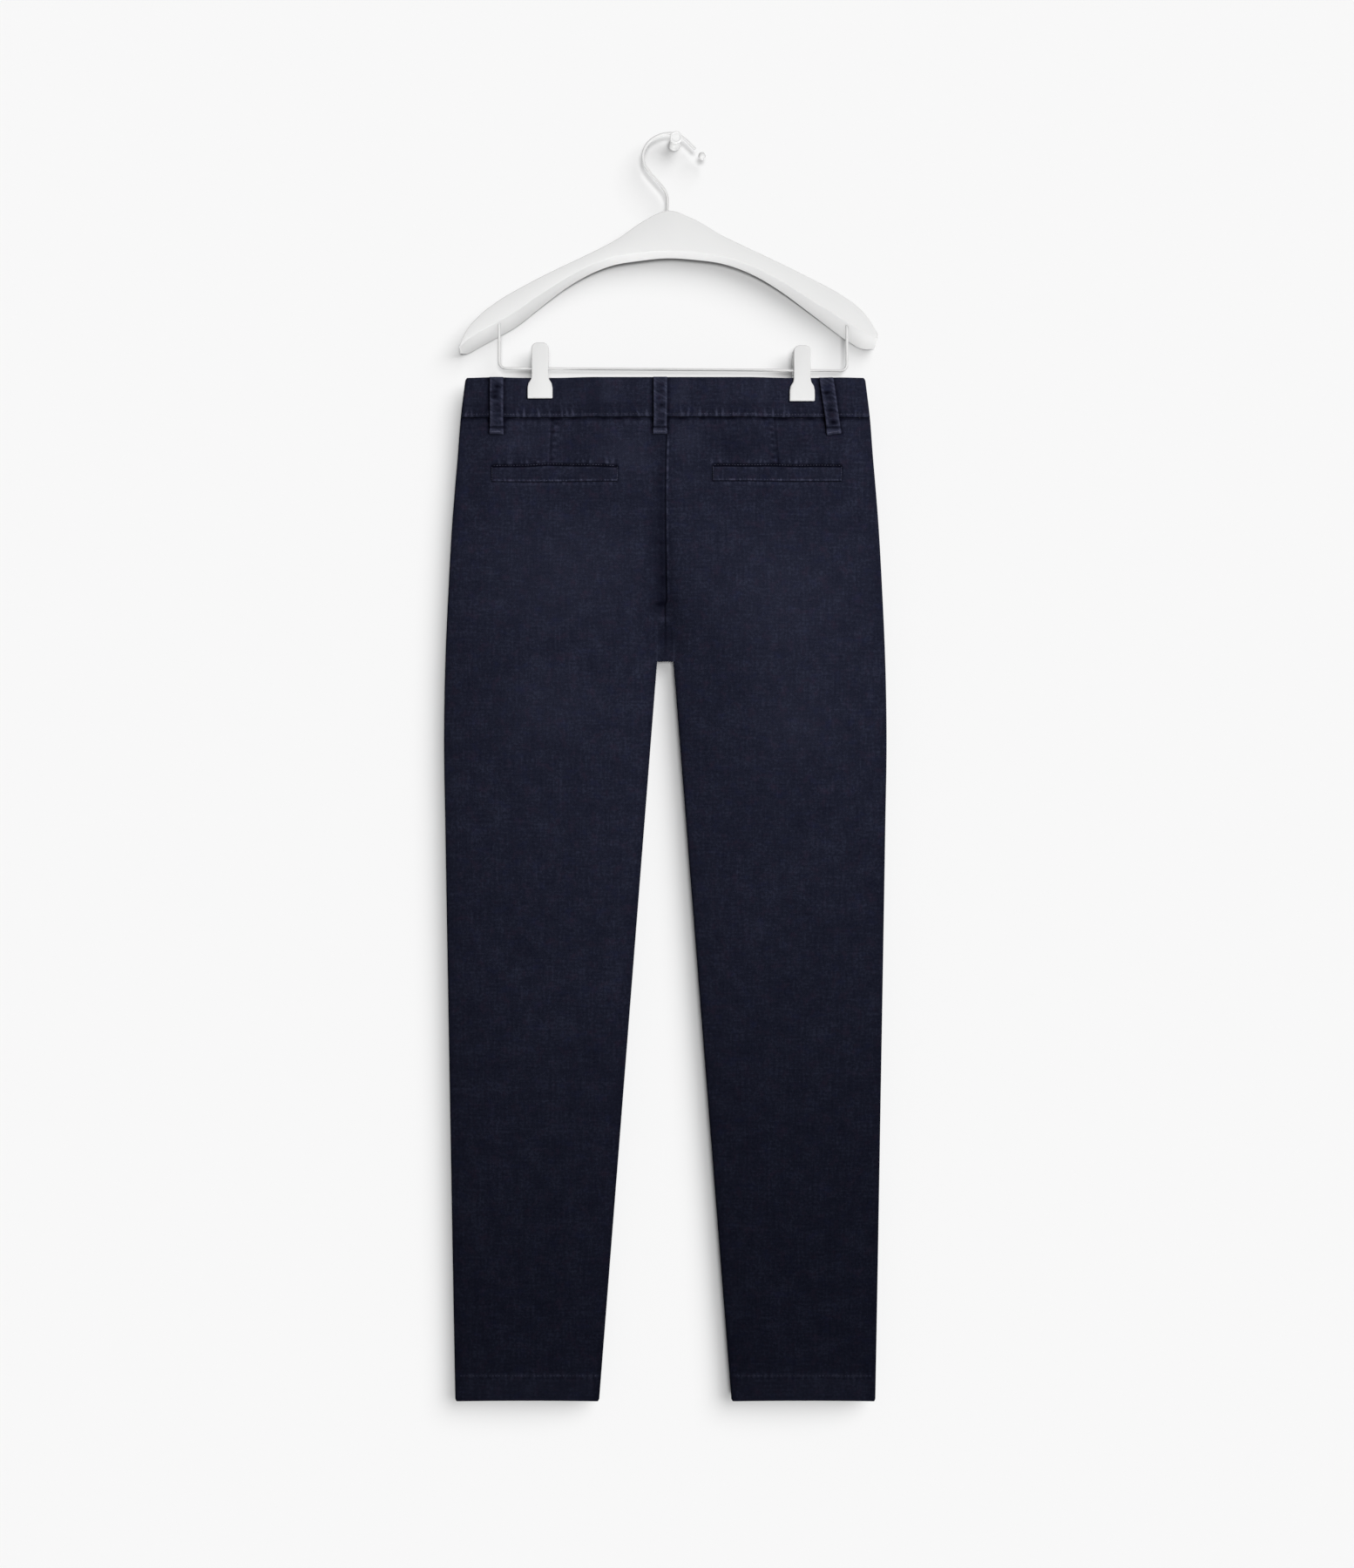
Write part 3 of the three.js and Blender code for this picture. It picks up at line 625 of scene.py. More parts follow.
def back_panel(side, sign, finish):
    def near(z):
        return np.where(z > CROTCH_Z, SEAM / 2 + sign * seat_seam(z), inseam_edge(z) + hem_corner(z))

    def far(z):
        return side_edge(z) - hem_corner(z)

    x, z = panel_grid(body_levels(), near, far, sign, 1.55 * MM)
    offset, light = back_surface(x, z)
    hem, hem_light = hem_relief(x, z, 90 + sign)
    to_side = far(z) - np.abs(x)
    to_near = sign * x - near(z)
    above = z > CROTCH_Z
    joined = rounded(to_side, SEAM_ROUND) * np.where(above, 1, rounded(to_near, SEAM_ROUND))
    seam_drop = np.where(above, hump(to_near, 0.8 * MM), 0) * ease(CROTCH_Z, CROTCH_Z + 12 * MM, z)
    ridge = np.where(above, hump(to_near - 1.9 * MM, 1.1 * MM), 0) * (0.9 if sign > 0 else 0.35)
    ridge *= ease(CROTCH_Z + 20 * MM, CROTCH_Z + 60 * MM, z)
    outer = offset + hem * joined + (SEAM / 2 + CLOTH) * joined
    outer += 0.3 * MM * ridge - 0.6 * MM * seam_drop
    # Painted shade in the centre seam's groove, near the side fold and along the inseam.
    light = light + hem_light * joined - 0.5 * seam_drop - 0.2 * hump(to_side, 7 * MM)
    light += np.where(above, 0, -0.3 * hump(to_near, 5 * MM))
    level = z + hem_lift(x, z)
    piece = shell(f"cloth_back_{side}", x, level, panel_walls(outer), (x, z), light, finish, BACK)
    return settle(piece, "navy_twill", f"back_{side}")


def welt(side, start, end, level, finish):
    """The pocket's welt: a folded strip, sewn down at foot and ends, whose top edge stands at the opening."""
    foot_z = level - WELT_DEEP
    stitch_z = foot_z + 1.5 * MM
    columns = fine_ends(start + 0.5 * MM, end - 0.5 * MM, 1.5 * MM)
    rows = fine_ends(level - 0.2 * MM, foot_z, 1.2 * MM, edge=(0, 0.25, 0.6, 1.1, 1.8))
    z, x = np.meshgrid(rows, columns, indexing="ij")
    bow = slit_level(x, side, start, end, level) - level
    z = z + bow * ease(foot_z, level, z)
    under_edge = level + bow - z
    over_foot = z - level + WELT_DEEP
    down = np.clip(under_edge / WELT_DEEP, 0, 1)
    rise = WELT_RISE * (1 - 0.35 * down) * rounded(under_edge, 1.2 * MM)
    ends = rounded(np.minimum(x - start, end - x), 1.6 * MM)
    gathers = puckers(x, z, foot_z + 2 * MM, start, end, 5.2 * MM, 3.2 * MM, 0.3 * MM, 100 + len(side))
    folds = creases(x, z, (
        (start / MM + 34, level / MM - 7, 9, 3, 70, 0.3),
        (start / MM + 88, level / MM - 8, 8, 3, 110, 0.35),
        (end / MM - 22, level / MM - 7, 8, 3, 65, 0.3),
    ))
    base = hollow(x, z) + creases(x, z, BACK_CREASES) + SEAM / 2 + CLOTH
    raised = (rise + gathers + folds) * np.minimum(rounded(over_foot, 1.3 * MM), ends)
    offsets = (base + 0.12 * MM + raised, base - 0.9 * MM)
    dots = puckers(x, z, stitch_z, start, end, 3 * MM, 1.1 * MM, 0.75, 107)
    # Gathers and the folded top edge are painted lighter, as painted highlight together with rubbed edge; the
    # ends, the foot and a line above the stitching are painted darker as shade.
    light = gathers / MM + 0.22 * hump(under_edge - 1.4 * MM, 1.2 * MM) * uneven(x, 105, 24 * MM)
    light = light - 0.25 * hump(x - start, 1.5 * MM) - 0.25 * hump(x - end, 1.5 * MM) - 0.04
    light = light + patches(x, z, BACK_SHADE_PATCHES) - 0.2 * hump(over_foot, MM)
    light = light + dots - 0.3 * hump(z - stitch_z - 2.2 * MM, MM)
    # Painted shade of a fold across the welt.
    light = light - 0.5 * hump(x - WELT_SHADE_X[side], 6 * MM) * uneven(z, 106, 12 * MM)
    piece = shell(f"cloth_welt_{side}", x, z, offsets, (x, z), light, finish, BACK)
    return settle(piece, "navy_twill", f"back_welt_{side}")


# ---- The front ----

POCKET_WIDE = 45 * MM
POCKET_DEEP = 165 * MM
SLANT_STITCH = 6.5 * MM  # from a slant pocket's mouth to its row of stitches
FLY_WIDE = 38 * MM
FLY_LAP = 6 * MM
FLY_DEEP = 170 * MM
FRONT_SEAM_X = 4 * MM  # the front's centre seam stands aside of the back's: no light shows through both


def pocket_mouth(z):
    """How far the slant pocket's mouth lies from the side edge."""
    return POCKET_WIDE * np.maximum(0, 1 - (WAIST_SEAM_Z - z) / POCKET_DEEP)


def front_surface(x, z):
    """The front's outer surface from CLOTH_Y, and how much lighter or darker its colour is painted: gathers
    as painted highlight, painted shadow under the waistband, and painted shade in the hollow near the crotch.
    """
    relief = creases(x, z, FRONT_CREASES)
    gathers = puckers(x, z, WAIST_SEAM_Z - 3 * MM, *WAIST_REACH, 6.8 * MM, 4.5 * MM, 0.26 * MM, 180)
    fade = rounded(np.minimum(side_edge(z) - np.abs(x), 30 * MM), 30 * MM)
    # Gathers painted lighter by their height, as painted highlight together with rubbed ridges; painted
    # shadow under the waistband.
    light = gathers / (1.4 * MM) - 0.5 * hump(z - WAIST_SEAM_Z, 2.6 * MM)
    # The hollow drawn in near the crotch is painted darker as shade as well.
    drawn = hump(x - FRONT_SEAM_X, 10 * MM) * ease(-380 * MM, -540 * MM, z)
    return hollow(x, z) + (relief + gathers - 2.2 * MM * drawn) * fade, light - 0.4 * drawn


def front_panel(side, sign, finish):
    upper = np.linspace(WAIST_SEAM_Z - SEAM / 2, CROTCH_Z + 0.3 * MM, 88)
    lower = np.linspace(CROTCH_Z - 0.3 * MM, HEM_Z + 34 * MM, 96)
    levels = np.concatenate((upper, lower, np.linspace(HEM_Z + 31 * MM, HEM_Z + 3 * MM, 12), HEM_ENDS))

    def near(z):
        return np.where(z > CROTCH_Z, SEAM / 2 + sign * FRONT_SEAM_X, inseam_edge(z) + hem_corner(z))

    def far(z):
        return side_edge(z) - pocket_mouth(z) - hem_corner(z)

    x, z = panel_grid(levels, near, far, sign, 2.6 * MM)
    offset, light = front_surface(x, z)
    hem, hem_light = hem_relief(x, z, 190 + sign)
    to_side = far(z) - np.abs(x)
    to_near = sign * x - near(z)
    above = z > CROTCH_Z
    at_mouth = ease(0, 2 * MM, pocket_mouth(z))
    joined = rounded(to_side, SEAM_ROUND) * (1 - at_mouth) + at_mouth
    joined *= np.where(above, 1, rounded(to_near, SEAM_ROUND))
    mouth = at_mouth * (0.6 * MM * ease(9 * MM, 6 * MM, to_side) - 0.7 * MM * hump(to_side, 0.9 * MM))
    stitched = at_mouth * hump(to_side - SLANT_STITCH, MM)
    outer = offset + hem * joined + (SEAM / 2 + CLOTH) * joined + mouth - 0.35 * MM * stitched
    outer -= np.where(above, 0.7 * MM * hump(to_near, 0.9 * MM), 0)
    # The pocket mouth's folded edge is painted lighter, rubbed edge together with painted highlight; its
    # stitched groove is painted darker as shade.
    light = light + hem_light * joined + 0.35 * at_mouth * hump(to_side - MM, 1.4 * MM) - 0.3 * stitched
    z = z + hem_lift(x, z)
    piece = shell(f"cloth_front_{side}", x, z, panel_walls(outer), (x, z), light, finish, FRONT)
    return settle(piece, "navy_twill", f"front_{side}")


def pocket_facing(side, sign, finish):
    """The cloth that shows inside the slant pocket's mouth, between the mouth and the side seam."""
    levels = np.linspace(WAIST_SEAM_Z - SEAM / 2, WAIST_SEAM_Z - POCKET_DEEP + 6 * MM, 60)

    def near(z):
        return side_edge(z) - pocket_mouth(z) + SEAM

    x, z = panel_grid(levels, near, side_edge, sign, 11 * MM)
    to_side = side_edge(z) - np.abs(x)
    outer = hollow(x, z) + (SEAM / 2 + CLOTH) * rounded(to_side, SEAM_ROUND)
    outer = outer - 0.15 * MM * hump(to_side - 22 * MM, 9 * MM)
    # Painted shade on the facing just inside the pocket mouth's edge.
    light = -0.3 * hump(np.abs(x) - near(z), 3 * MM)
    piece = shell(f"cloth_facing_{side}", x, z, panel_walls(outer), (x, z), light, finish, FRONT)
    return settle(piece, "navy_twill", f"pocket_facing_{side}")


def fly(finish):
    """The folded edge of the left front, which laps over the fly and is stitched down in a curve."""
    top = WAIST_SEAM_Z - SEAM
    end = WAIST_SEAM_Z - FLY_DEEP
    rows = fine_ends(top, end, 3 * MM, edge=(0, 0.5, 1.2))
    share = fine_ends(0, 0.04, 1.6 * MM, edge=(0, 0.4, 1, 1.8)) / 0.04
    z = np.repeat(rows[:, None], len(share), axis=1)
    curved = np.sqrt(np.minimum(1, np.maximum(0, z - end) / FLY_WIDE + 0.02))
    left = FLY_LAP - (FLY_LAP + FLY_WIDE) * curved
    x = left + (FLY_LAP - left) * share[None, :]
    surface, _ = front_surface(x, z)
    gathers = puckers(z, x, -4 * MM, end, top, 7 * MM, 3 * MM, 0.3 * MM, 210)
    rise = 1.25 * MM * rounded(FLY_LAP - x, 1.4 * MM) * ease(0, 4 * MM, x - left)
    base = surface + SEAM / 2 + CLOTH
    offsets = (base + 0.1 * MM + rise + gathers * ease(0, 6 * MM, FLY_LAP - x), base - 0.7 * MM)
    # The folded edge and the gathers are painted lighter: rubbed edge together with painted highlight.
    light = 0.4 * hump(FLY_LAP - x - MM, 1.3 * MM) + gathers / MM
    piece = shell("cloth_fly", x, z, offsets, (x, z), light, finish, FRONT)
    return settle(piece, "navy_twill", "fly_flap")


def hem_fold(name, side, sign, face, finish):
    """The turned-up cloth inside a leg's end."""
    levels = np.linspace(HEM_Z + HEM_DEEP, HEM_Z + 0.3 * MM, 14)

    def near(z):
        return inseam_edge(z) + 10 * MM

    def far(z):
        return side_edge(z) - 10 * MM

    x, z = panel_grid(levels, near, far, sign, 4 * MM)
    base = hollow(x, z) + SEAM / 2
    edge = puckers(x, z, HEM_Z + HEM_DEEP, -0.23, 0.23, 9 * MM, 5 * MM, 0.25 * MM, 230 + sign)
    offsets = (np.maximum(base - 0.15 * MM, 0.3 * MM), np.maximum(base - 1.2 * MM - edge, 0.2 * MM))
    z = z + hem_lift(x, z)
    piece = shell(f"cloth_hem_{name}_{side}", x, z, offsets, (x, z), np.zeros_like(x), finish, face)
    return settle(piece, "navy_twill", f"hem_{name}_{side}")


# ---- Waistband and belt loops ----

BAND_STITCH_Z = WAIST_SEAM_Z + 3.4 * MM
BAND_LAP = 18 * MM
AT_SIDE = 0.1  # a part of the band that reaches beyond this ends at a side seam


def band_piece(node, start, end, step, face, finish, seed):
    """One part of the waistband, with its gathers, its stitched groove, random dents, and its painted light
    and shade.
    """
    rows = fine_ends(WAIST_TOP_Z, WAIST_SEAM_Z + SEAM / 2, 1.7 * MM, edge=(0, 0.25, 0.7, 1.4, 2.2))
    share = fine_ends(0, end - start, step) / (end - start)
    z = np.repeat(rows[:, None], len(share), axis=1)
    side = side_edge(z) - 1.3 * MM * ease(WAIST_TOP_Z - 4 * MM, WAIST_TOP_Z, z) ** 2
    lo = np.where(start < -AT_SIDE, -side, start)
    hi = np.where(end > AT_SIDE, side, end)
    left, right = float(lo.min()), float(hi.max())
    x = lo + (hi - lo) * share[None, :]
    to_side = side - np.abs(x)
    joined = rounded(to_side, 3.2 * MM)
    ends = np.minimum(rounded(np.abs(x - start) + 0.2 * MM, MM), rounded(np.abs(x - end) + 0.2 * MM, MM))
    top = rounded(WAIST_TOP_Z - z, 1.6 * MM)
    foot = rounded(z - WAIST_SEAM_Z, 1.1 * MM)
    gathers = puckers(x, z, BAND_STITCH_Z + 1.6 * MM, left, right, 5.6 * MM, 4.8 * MM, 0.46 * MM, seed)
    stitch = hump(z - BAND_STITCH_Z, 0.9 * MM)
    roll = 0.1 * MM * hump(z - BAND_STITCH_Z + 1.8 * MM, 1.6 * MM)
    draw = np.random.default_rng(seed + 1)
    dents = np.zeros_like(x)
    for _ in range(16):
        middle = draw.uniform(left, right)
        high = draw.uniform(WAIST_SEAM_Z + 10 * MM, WAIST_TOP_Z - 6 * MM)
        size = draw.uniform(-0.28, 0.28) * MM
        dents += size * hump(x - middle, draw.uniform(6, 22) * MM) * hump(z - high, draw.uniform(4, 9) * MM)
    thick = BAND * (0.42 + 0.58 * np.minimum(top, foot))
    solid = thick + gathers + roll + dents - 0.25 * MM * stitch
    outer = waist_hollow(x) + (SEAM / 2 + solid) * joined * np.where(ends < 1, 0.6 + 0.4 * ends, 1)
    outer = np.maximum(outer, 0.06 * MM)
    inner = np.maximum(waist_hollow(x) + SEAM / 2, 0.03 * MM) * np.minimum(1, joined + 0.05)
    offsets = (outer, np.minimum(inner, outer - 0.02 * MM))
    # Gathers painted lighter by their height, as painted highlight together with rubbed ridges; painted shade
    # above the stitching and in its groove.
    light = gathers / (0.56 * MM) - 0.42 * hump(z - BAND_STITCH_Z - 2.6 * MM, 4.4 * MM) - 0.15 * stitch
    light = light + 0.05 * hump(z - BAND_STITCH_Z + 1.6 * MM, 1.2 * MM) * uneven(x, seed + 2, 24 * MM)
    light = light + puckers(x, z, BAND_STITCH_Z, left, right, 4.3 * MM, 1.4 * MM, 0.5, seed + 4)
    # Painted shade near the side folds and a darker line across the band; painted shadow beside the belt
    # loops; a slow random change of tone.
    light = light - 0.16 * hump(to_side, 6 * MM) - 0.25 * hump(z - WAIST_SEAM_Z - 13.5 * MM, 1.4 * MM)
    light = light - 0.7 * loop_painted_shadow(x, z, face) + 0.16 * (uneven(x, seed + 3, 90 * MM) - 0.5)
    piece = shell(f"cloth_{node}", x, z, offsets, (x, z), light, finish, face)
    return settle(piece, "navy_twill", node)


def waistband(finish):
    side = float(side_edge(WAIST_SEAM_Z))
    band_piece("waistband_back", -side, side, 1.5 * MM, BACK, finish, 120)
    band_piece("waistband_front_left", -side, BAND_LAP, 2.2 * MM, FRONT, finish, 130)
    band_piece("waistband_front_right", BAND_LAP + SEAM, side, 2.2 * MM, FRONT, finish, 140)


LOOP_WALL = 1.5 * MM
LOOP_TACK = 9.5 * MM  # from the loop's end up to the fold above its bar tack
LOOP_ACROSS = np.array((-1, -0.97, -0.9, -0.78, -0.62, -0.42, -0.2, 0, 0.2, 0.42, 0.62, 0.78, 0.9, 0.97, 1))
LOOP_EDGE = 0.82  # where the turned-in edges are thickest, on the scale of LOOP_ACROSS
# The loop's end under its tack. Columns, in millimetres: height above the end, and lift off the cloth.
LOOP_FOOT = (
    (9.5, 1.5), (8.4, 1.05), (7.4, 0.95), (6, 1.25), (4.5, 1.3), (3, 0.95), (1.6, 0.6), (0.6, 0.1), (0, -0.5),
)
# Marks across the loop's foot: painted shade (tone below 0) in the dip at the upper tack, painted light (tone
# above 0) across the fold above it, and a lighter band near the end. Columns: height above the end and reach,
# in millimetres, and tone.
LOOP_MARKS = ((7.6, 1.1, -1.1), (2.6, 1.6, 0.4), (10.6, 1.4, 0.45))


def loop_way():
    """The way of a loop's middle line: its height, and how far it stands off the waistband's outer face."""
    way = [(WAIST_TOP_Z - 4 * MM, -BAND - 0.4 * MM), (WAIST_TOP_Z - 2.6 * MM, -BAND - 0.5 * MM)]
    over = WAIST_TOP_Z - 0.5 * MM
    for turn in np.radians(np.linspace(150, 25, 7)):
        out = -BAND / 2 + (BAND / 2 + 0.9 * MM) * math.cos(turn)
        way.append((over - 0.5 * MM + 0.9 * MM * math.sin(turn), out))
    for level in np.arange(WAIST_TOP_Z - 2 * MM, LOOP_END_Z + LOOP_TACK + 3 * MM, -1.4 * MM):
        down = (WAIST_TOP_Z - level) / LOOP_LONG
        way.append((level, (1.0 + 0.9 * math.sin(math.pi * down)) * MM))
    for height, lift in LOOP_FOOT:
        way.append((LOOP_END_Z + height * MM, lift * MM))
    return np.array(way)


def belt_loop(name, top, end, face, finish):
    """A folded strip that starts inside the band, turns over its top and is tacked below the waist seam."""
    way = loop_way()
    z = np.repeat(way[:, :1], len(LOOP_ACROSS), axis=1)
    middle = top + (end - top) * (WAIST_TOP_Z - np.minimum(z, WAIST_TOP_Z)) / LOOP_LONG
    flare = 1 + 0.05 * hump(z - LOOP_END_Z - 3 * MM, 5 * MM)
    flare -= 0.03 * hump(z - LOOP_END_Z - 20 * MM, 14 * MM)
    x = middle + LOOP_ACROSS * LOOP_WIDE / 2 * flare
    slant = (end - top) / LOOP_LONG
    z = z + slant * (x - middle) * ease(WAIST_TOP_Z, WAIST_TOP_Z - 8 * MM, z)
    band = waist_hollow(x) + SEAM / 2 + BAND
    panel = hollow(x, np.minimum(z, WAIST_SEAM_Z - MM)) + SEAM / 2 + CLOTH
    below = ease(WAIST_SEAM_Z - MM, WAIST_SEAM_Z - 12 * MM, z)
    middle_line = band * (1 - below) + panel * below + way[:, 1:] + 0.5 * MM
    draw = np.random.default_rng(300 + len(name))
    rough = np.zeros_like(x)
    for level in np.arange(LOOP_END_Z + 13 * MM, WAIST_TOP_Z - 4 * MM, 6.5 * MM):
        dent = hump(z - level - draw.uniform(-1.5, 1.5) * MM, 2 * MM)
        rough -= draw.uniform(0.05, 0.3) * MM * dent * hump(x - middle - draw.uniform(-2, 2) * MM, 3.4 * MM)
    edge = np.abs(LOOP_ACROSS)
    welted = 0.22 * MM * hump(edge - LOOP_EDGE, 0.12)
    round_off = LOOP_WALL * (1 - np.sqrt(np.maximum(0, 1 - ease(0.86, 1.0, edge) ** 2)))
    outer = middle_line + LOOP_WALL / 2 + rough + welted - 0.5 * round_off
    inner = middle_line - LOOP_WALL / 2 + 0.45 * round_off
    patchy = uneven(z + 0.6 * x, 320 + len(name), 13 * MM)
    # Turned-in edges and random patches are paler, as rubbed cloth; dents are painted darker as shade; then
    # the painted marks across the foot.
    light = (0.1 + 0.34 * patchy) * hump(edge - LOOP_EDGE, 0.17) + 0.24 * patchy + 0.02 + rough / (0.15 * MM)
    for height, reach, tone in LOOP_MARKS:
        light += tone * hump(z - LOOP_END_Z - height * MM, reach * MM)
    uv = (x - middle + top, z)
    piece = shell(f"cloth_loop_{name}", x, z, (outer, inner), uv, light, finish, face, smooth=70)
    return settle(piece, "navy_twill", f"belt_loop_{name}")


# ---- Stitches ----

STITCH_RINGS = ((-1, 0.15), (-0.72, 0.8), (0, 1), (0.72, 0.8), (1, 0.15))
STITCH_SIDES = 5


class Thread:
    """Many stitches of one seam line, gathered into one mesh."""

    def __init__(self, thick=0.24 * MM):
        self.points, self.faces, self.thick = [], [], thick

    def stitch(self, start, end, face):
        start, end = Vector(start), Vector(end)
        along = (end - start) / 2
        middle = (start + end) / 2
        out = Vector((0, face, 0))
        across = along.cross(out).normalized()
        base = len(self.points)
        for way, size in STITCH_RINGS:
            for turn in range(STITCH_SIDES):
                angle = 2 * math.pi * turn / STITCH_SIDES
                ring = across * math.cos(angle) + out * math.sin(angle) * 0.8
                self.points.append(middle + along * way + ring * self.thick * size)
        for ring in range(len(STITCH_RINGS) - 1):
            for turn in range(STITCH_SIDES):
                a = base + ring * STITCH_SIDES + turn
                b = base + ring * STITCH_SIDES + (turn + 1) % STITCH_SIDES
                self.faces.append((a, b, b + STITCH_SIDES, a + STITCH_SIDES))
        last = base + (len(STITCH_RINGS) - 1) * STITCH_SIDES
        self.faces.append(tuple(base + STITCH_SIDES - 1 - n for n in range(STITCH_SIDES)))
        self.faces.append(tuple(last + n for n in range(STITCH_SIDES)))

    def run(self, path, length, gap, face, seed, height=0.12 * MM):
        """Stitches along a path of points that lie on the cloth."""
        draw = np.random.default_rng(seed)
        path = np.array(path)
        steps = np.linalg.norm(np.diff(path, axis=0), axis=1)
        marks = np.concatenate(([0], np.cumsum(steps)))
        place = gap
        while place + length < marks[-1] - gap / 2:
            ends = []
            for mark in (place, place + length * draw.uniform(0.85, 1.05)):
                point = [np.interp(mark, marks, path[:, k]) for k in range(3)]
                point[1] += face * height
                point[2] += draw.normal(0, 0.06) * MM
                ends.append(point)
            self.stitch(*ends, face)
            place += length + gap

    def made(self, name, finish):
        mesh = bpy.data.meshes.new(name)
        mesh.from_pydata([tuple(p) for p in self.points], [], self.faces)
        mesh.materials.append(finish)
        piece = placed(name, mesh)
        bpy.ops.object.mode_set(mode="EDIT")
        bpy.ops.mesh.select_all(action="SELECT")
        bpy.ops.mesh.normals_make_consistent(inside=False)
        bpy.ops.object.mode_set(mode="OBJECT")
        bpy.ops.object.shade_smooth()
        return settle(piece, "navy_twill")


def stitch_row(name, path, length, gap, face, seed, finish, height=0.12 * MM):
    row = Thread()
    row.run(path, length, gap, face, seed, height)
    row.made(name, finish)


def on_cloth(xs, zs, offset, face):
    """Points that lie on the cloth, where offset gives its surface. Either xs or zs may be one number."""
    xs, zs = (np.array(places, float) for places in np.broadcast_arrays(xs, zs))
    return place_on(xs, offset(xs, zs), zs + hem_lift(xs, zs), face)


def back_outside(x, z):
    return back_surface(x, z)[0] + SEAM / 2 + CLOTH


def front_outside(x, z):
    return front_surface(x, z)[0] + SEAM / 2 + CLOTH


def band_outside(x, z):
    """The waistband stands upright, so that z makes no difference."""
    return waist_hollow(x) + SEAM / 2 + BAND - 0.05 * MM


def foot_outside(x, z):
    """The outer face of a welt near its foot."""
    return hollow(x, z) + creases(x, z, BACK_CREASES) + SEAM / 2 + CLOTH + 0.75 * MM


def waistband_stitches(finish):
    side = float(side_edge(BAND_STITCH_Z)) - 3 * MM
    for name, start, end, face, seed in (
        ("back", -side, side, BACK, 400),
        ("front_left", -side, BAND_LAP - 3 * MM, FRONT, 410),
        ("front_right", BAND_LAP + 3 * MM, side, FRONT, 420),
    ):
        path = on_cloth(np.linspace(start, end, 200), BAND_STITCH_Z, band_outside, face)
        stitch_row(f"stitching_waistband_{name}", path, 2.1 * MM, MM, face, seed, finish)


def welt_stitches(finish):
    """A row along each welt's foot, one above its opening and a dense bar at either end."""
    for side, start, end, level in WELTS:
        pocket = Thread()
        xs = np.linspace(start + MM, end - MM, 120)
        foot = level - WELT_DEEP + 1.5 * MM
        pocket.run(on_cloth(xs, foot, foot_outside, BACK), 1.9 * MM, 1.1 * MM, BACK, 430)
        above = slit_level(xs, side, start, end, level) + 2.3 * MM
        pocket.run(on_cloth(xs, above, back_outside, BACK), 2 * MM, 1.1 * MM, BACK, 431)
        for column in (start + 0.6 * MM, end - 0.6 * MM):
            path = on_cloth(column, np.linspace(level + MM, foot - MM, 30), foot_outside, BACK)
            pocket.run(path, 1.5 * MM, 0.5 * MM, BACK, 432, 0.3 * MM)
        pocket.made(f"stitching_pocket_{side}", finish)


def leg_stitches(finish):
    """The rows along the hems and along the mouths of the slant pockets."""
    level = HEM_Z + HEM_DEEP
    reach = np.linspace(float(inseam_edge(level)) + 4 * MM, float(side_edge(level)) - 4 * MM, 120)
    for side, sign in SIDES:
        for name, face, outside in (("back", BACK, back_outside), ("front", FRONT, front_outside)):
            path = on_cloth(sign * reach, level, outside, face)
            row = f"stitching_hem_{name}_{side}"
            stitch_row(row, path, 2.2 * MM, 1.3 * MM, face, 440 + sign, finish, 0.25 * MM)

    zs = np.linspace(WAIST_SEAM_Z - 3 * MM, WAIST_SEAM_Z - POCKET_DEEP + 10 * MM, 90)
    reach = side_edge(zs) - pocket_mouth(zs) - SLANT_STITCH
    for side, sign in SIDES:
        path = on_cloth(sign * reach, zs, front_outside, FRONT)
        row = f"stitching_slant_pocket_{side}"
        stitch_row(row, path, 2.2 * MM, 1.2 * MM, FRONT, 450 + sign, finish, 0.3 * MM)


def fly_stitches(finish):
    zs = np.linspace(WAIST_SEAM_Z - 3 * MM, WAIST_SEAM_Z - FLY_DEEP + 4 * MM, 120)
    bow = np.sqrt(np.clip((zs - zs[-1]) / FLY_WIDE, 0, 1))
    path = on_cloth(FLY_LAP - 6 * MM - (FLY_WIDE - 6 * MM) * bow, zs, front_outside, FRONT)
    stitch_row("stitching_fly", path, 2.2 * MM, 1.2 * MM, FRONT, 460, finish, 1.5 * MM)


def loop_tacks(finish):
    """Two bar tacks across the end of each belt loop: upright stitches, close side by side."""
    for name, top, end, face in LOOPS:
        tack = Thread(0.27 * MM)
        draw = np.random.default_rng(470 + len(name))
        for level, lift in ((2.7, 2.35), (7.7, 2.05)):
            for step in np.arange(-5.8, 5.9, 0.85):
                x = end + (step + draw.normal(0, 0.08)) * MM
                z = LOOP_END_Z + (level + 0.12 * (end - top) / MM * step / 7.5) * MM
                y = CLOTH_Y + face * (float(hollow(x, z)) + SEAM / 2 + CLOTH + lift * MM)
                foot = (CENTRE_X + x, y, z - 0.7 * MM)
                tack.stitch(foot, (CENTRE_X + x + 0.3 * MM, y, z + 0.7 * MM), face)
        tack.made(f"stitching_loop_{name}", finish)


# ---- Hard pieces: modelling by hand ----

def begin(name):
    piece = bpy.context.object
    piece.name = name
    piece.data.name = name
    bpy.ops.object.mode_set(mode="EDIT")
    bpy.ops.mesh.select_all(action="SELECT")
    return piece


def done(piece, finish, angle=38):
    bpy.ops.mesh.select_all(action="SELECT")
    bpy.ops.mesh.remove_doubles(threshold=1e-6)
    bpy.ops.mesh.normals_make_consistent(inside=False)
    bpy.ops.object.mode_set(mode="OBJECT")
    bpy.ops.object.transform_apply(location=True, rotation=True, scale=True)
    piece.data.materials.clear()
    piece.data.materials.append(finish)
    bpy.ops.object.shade_smooth_by_angle(angle=math.radians(angle))
    return piece


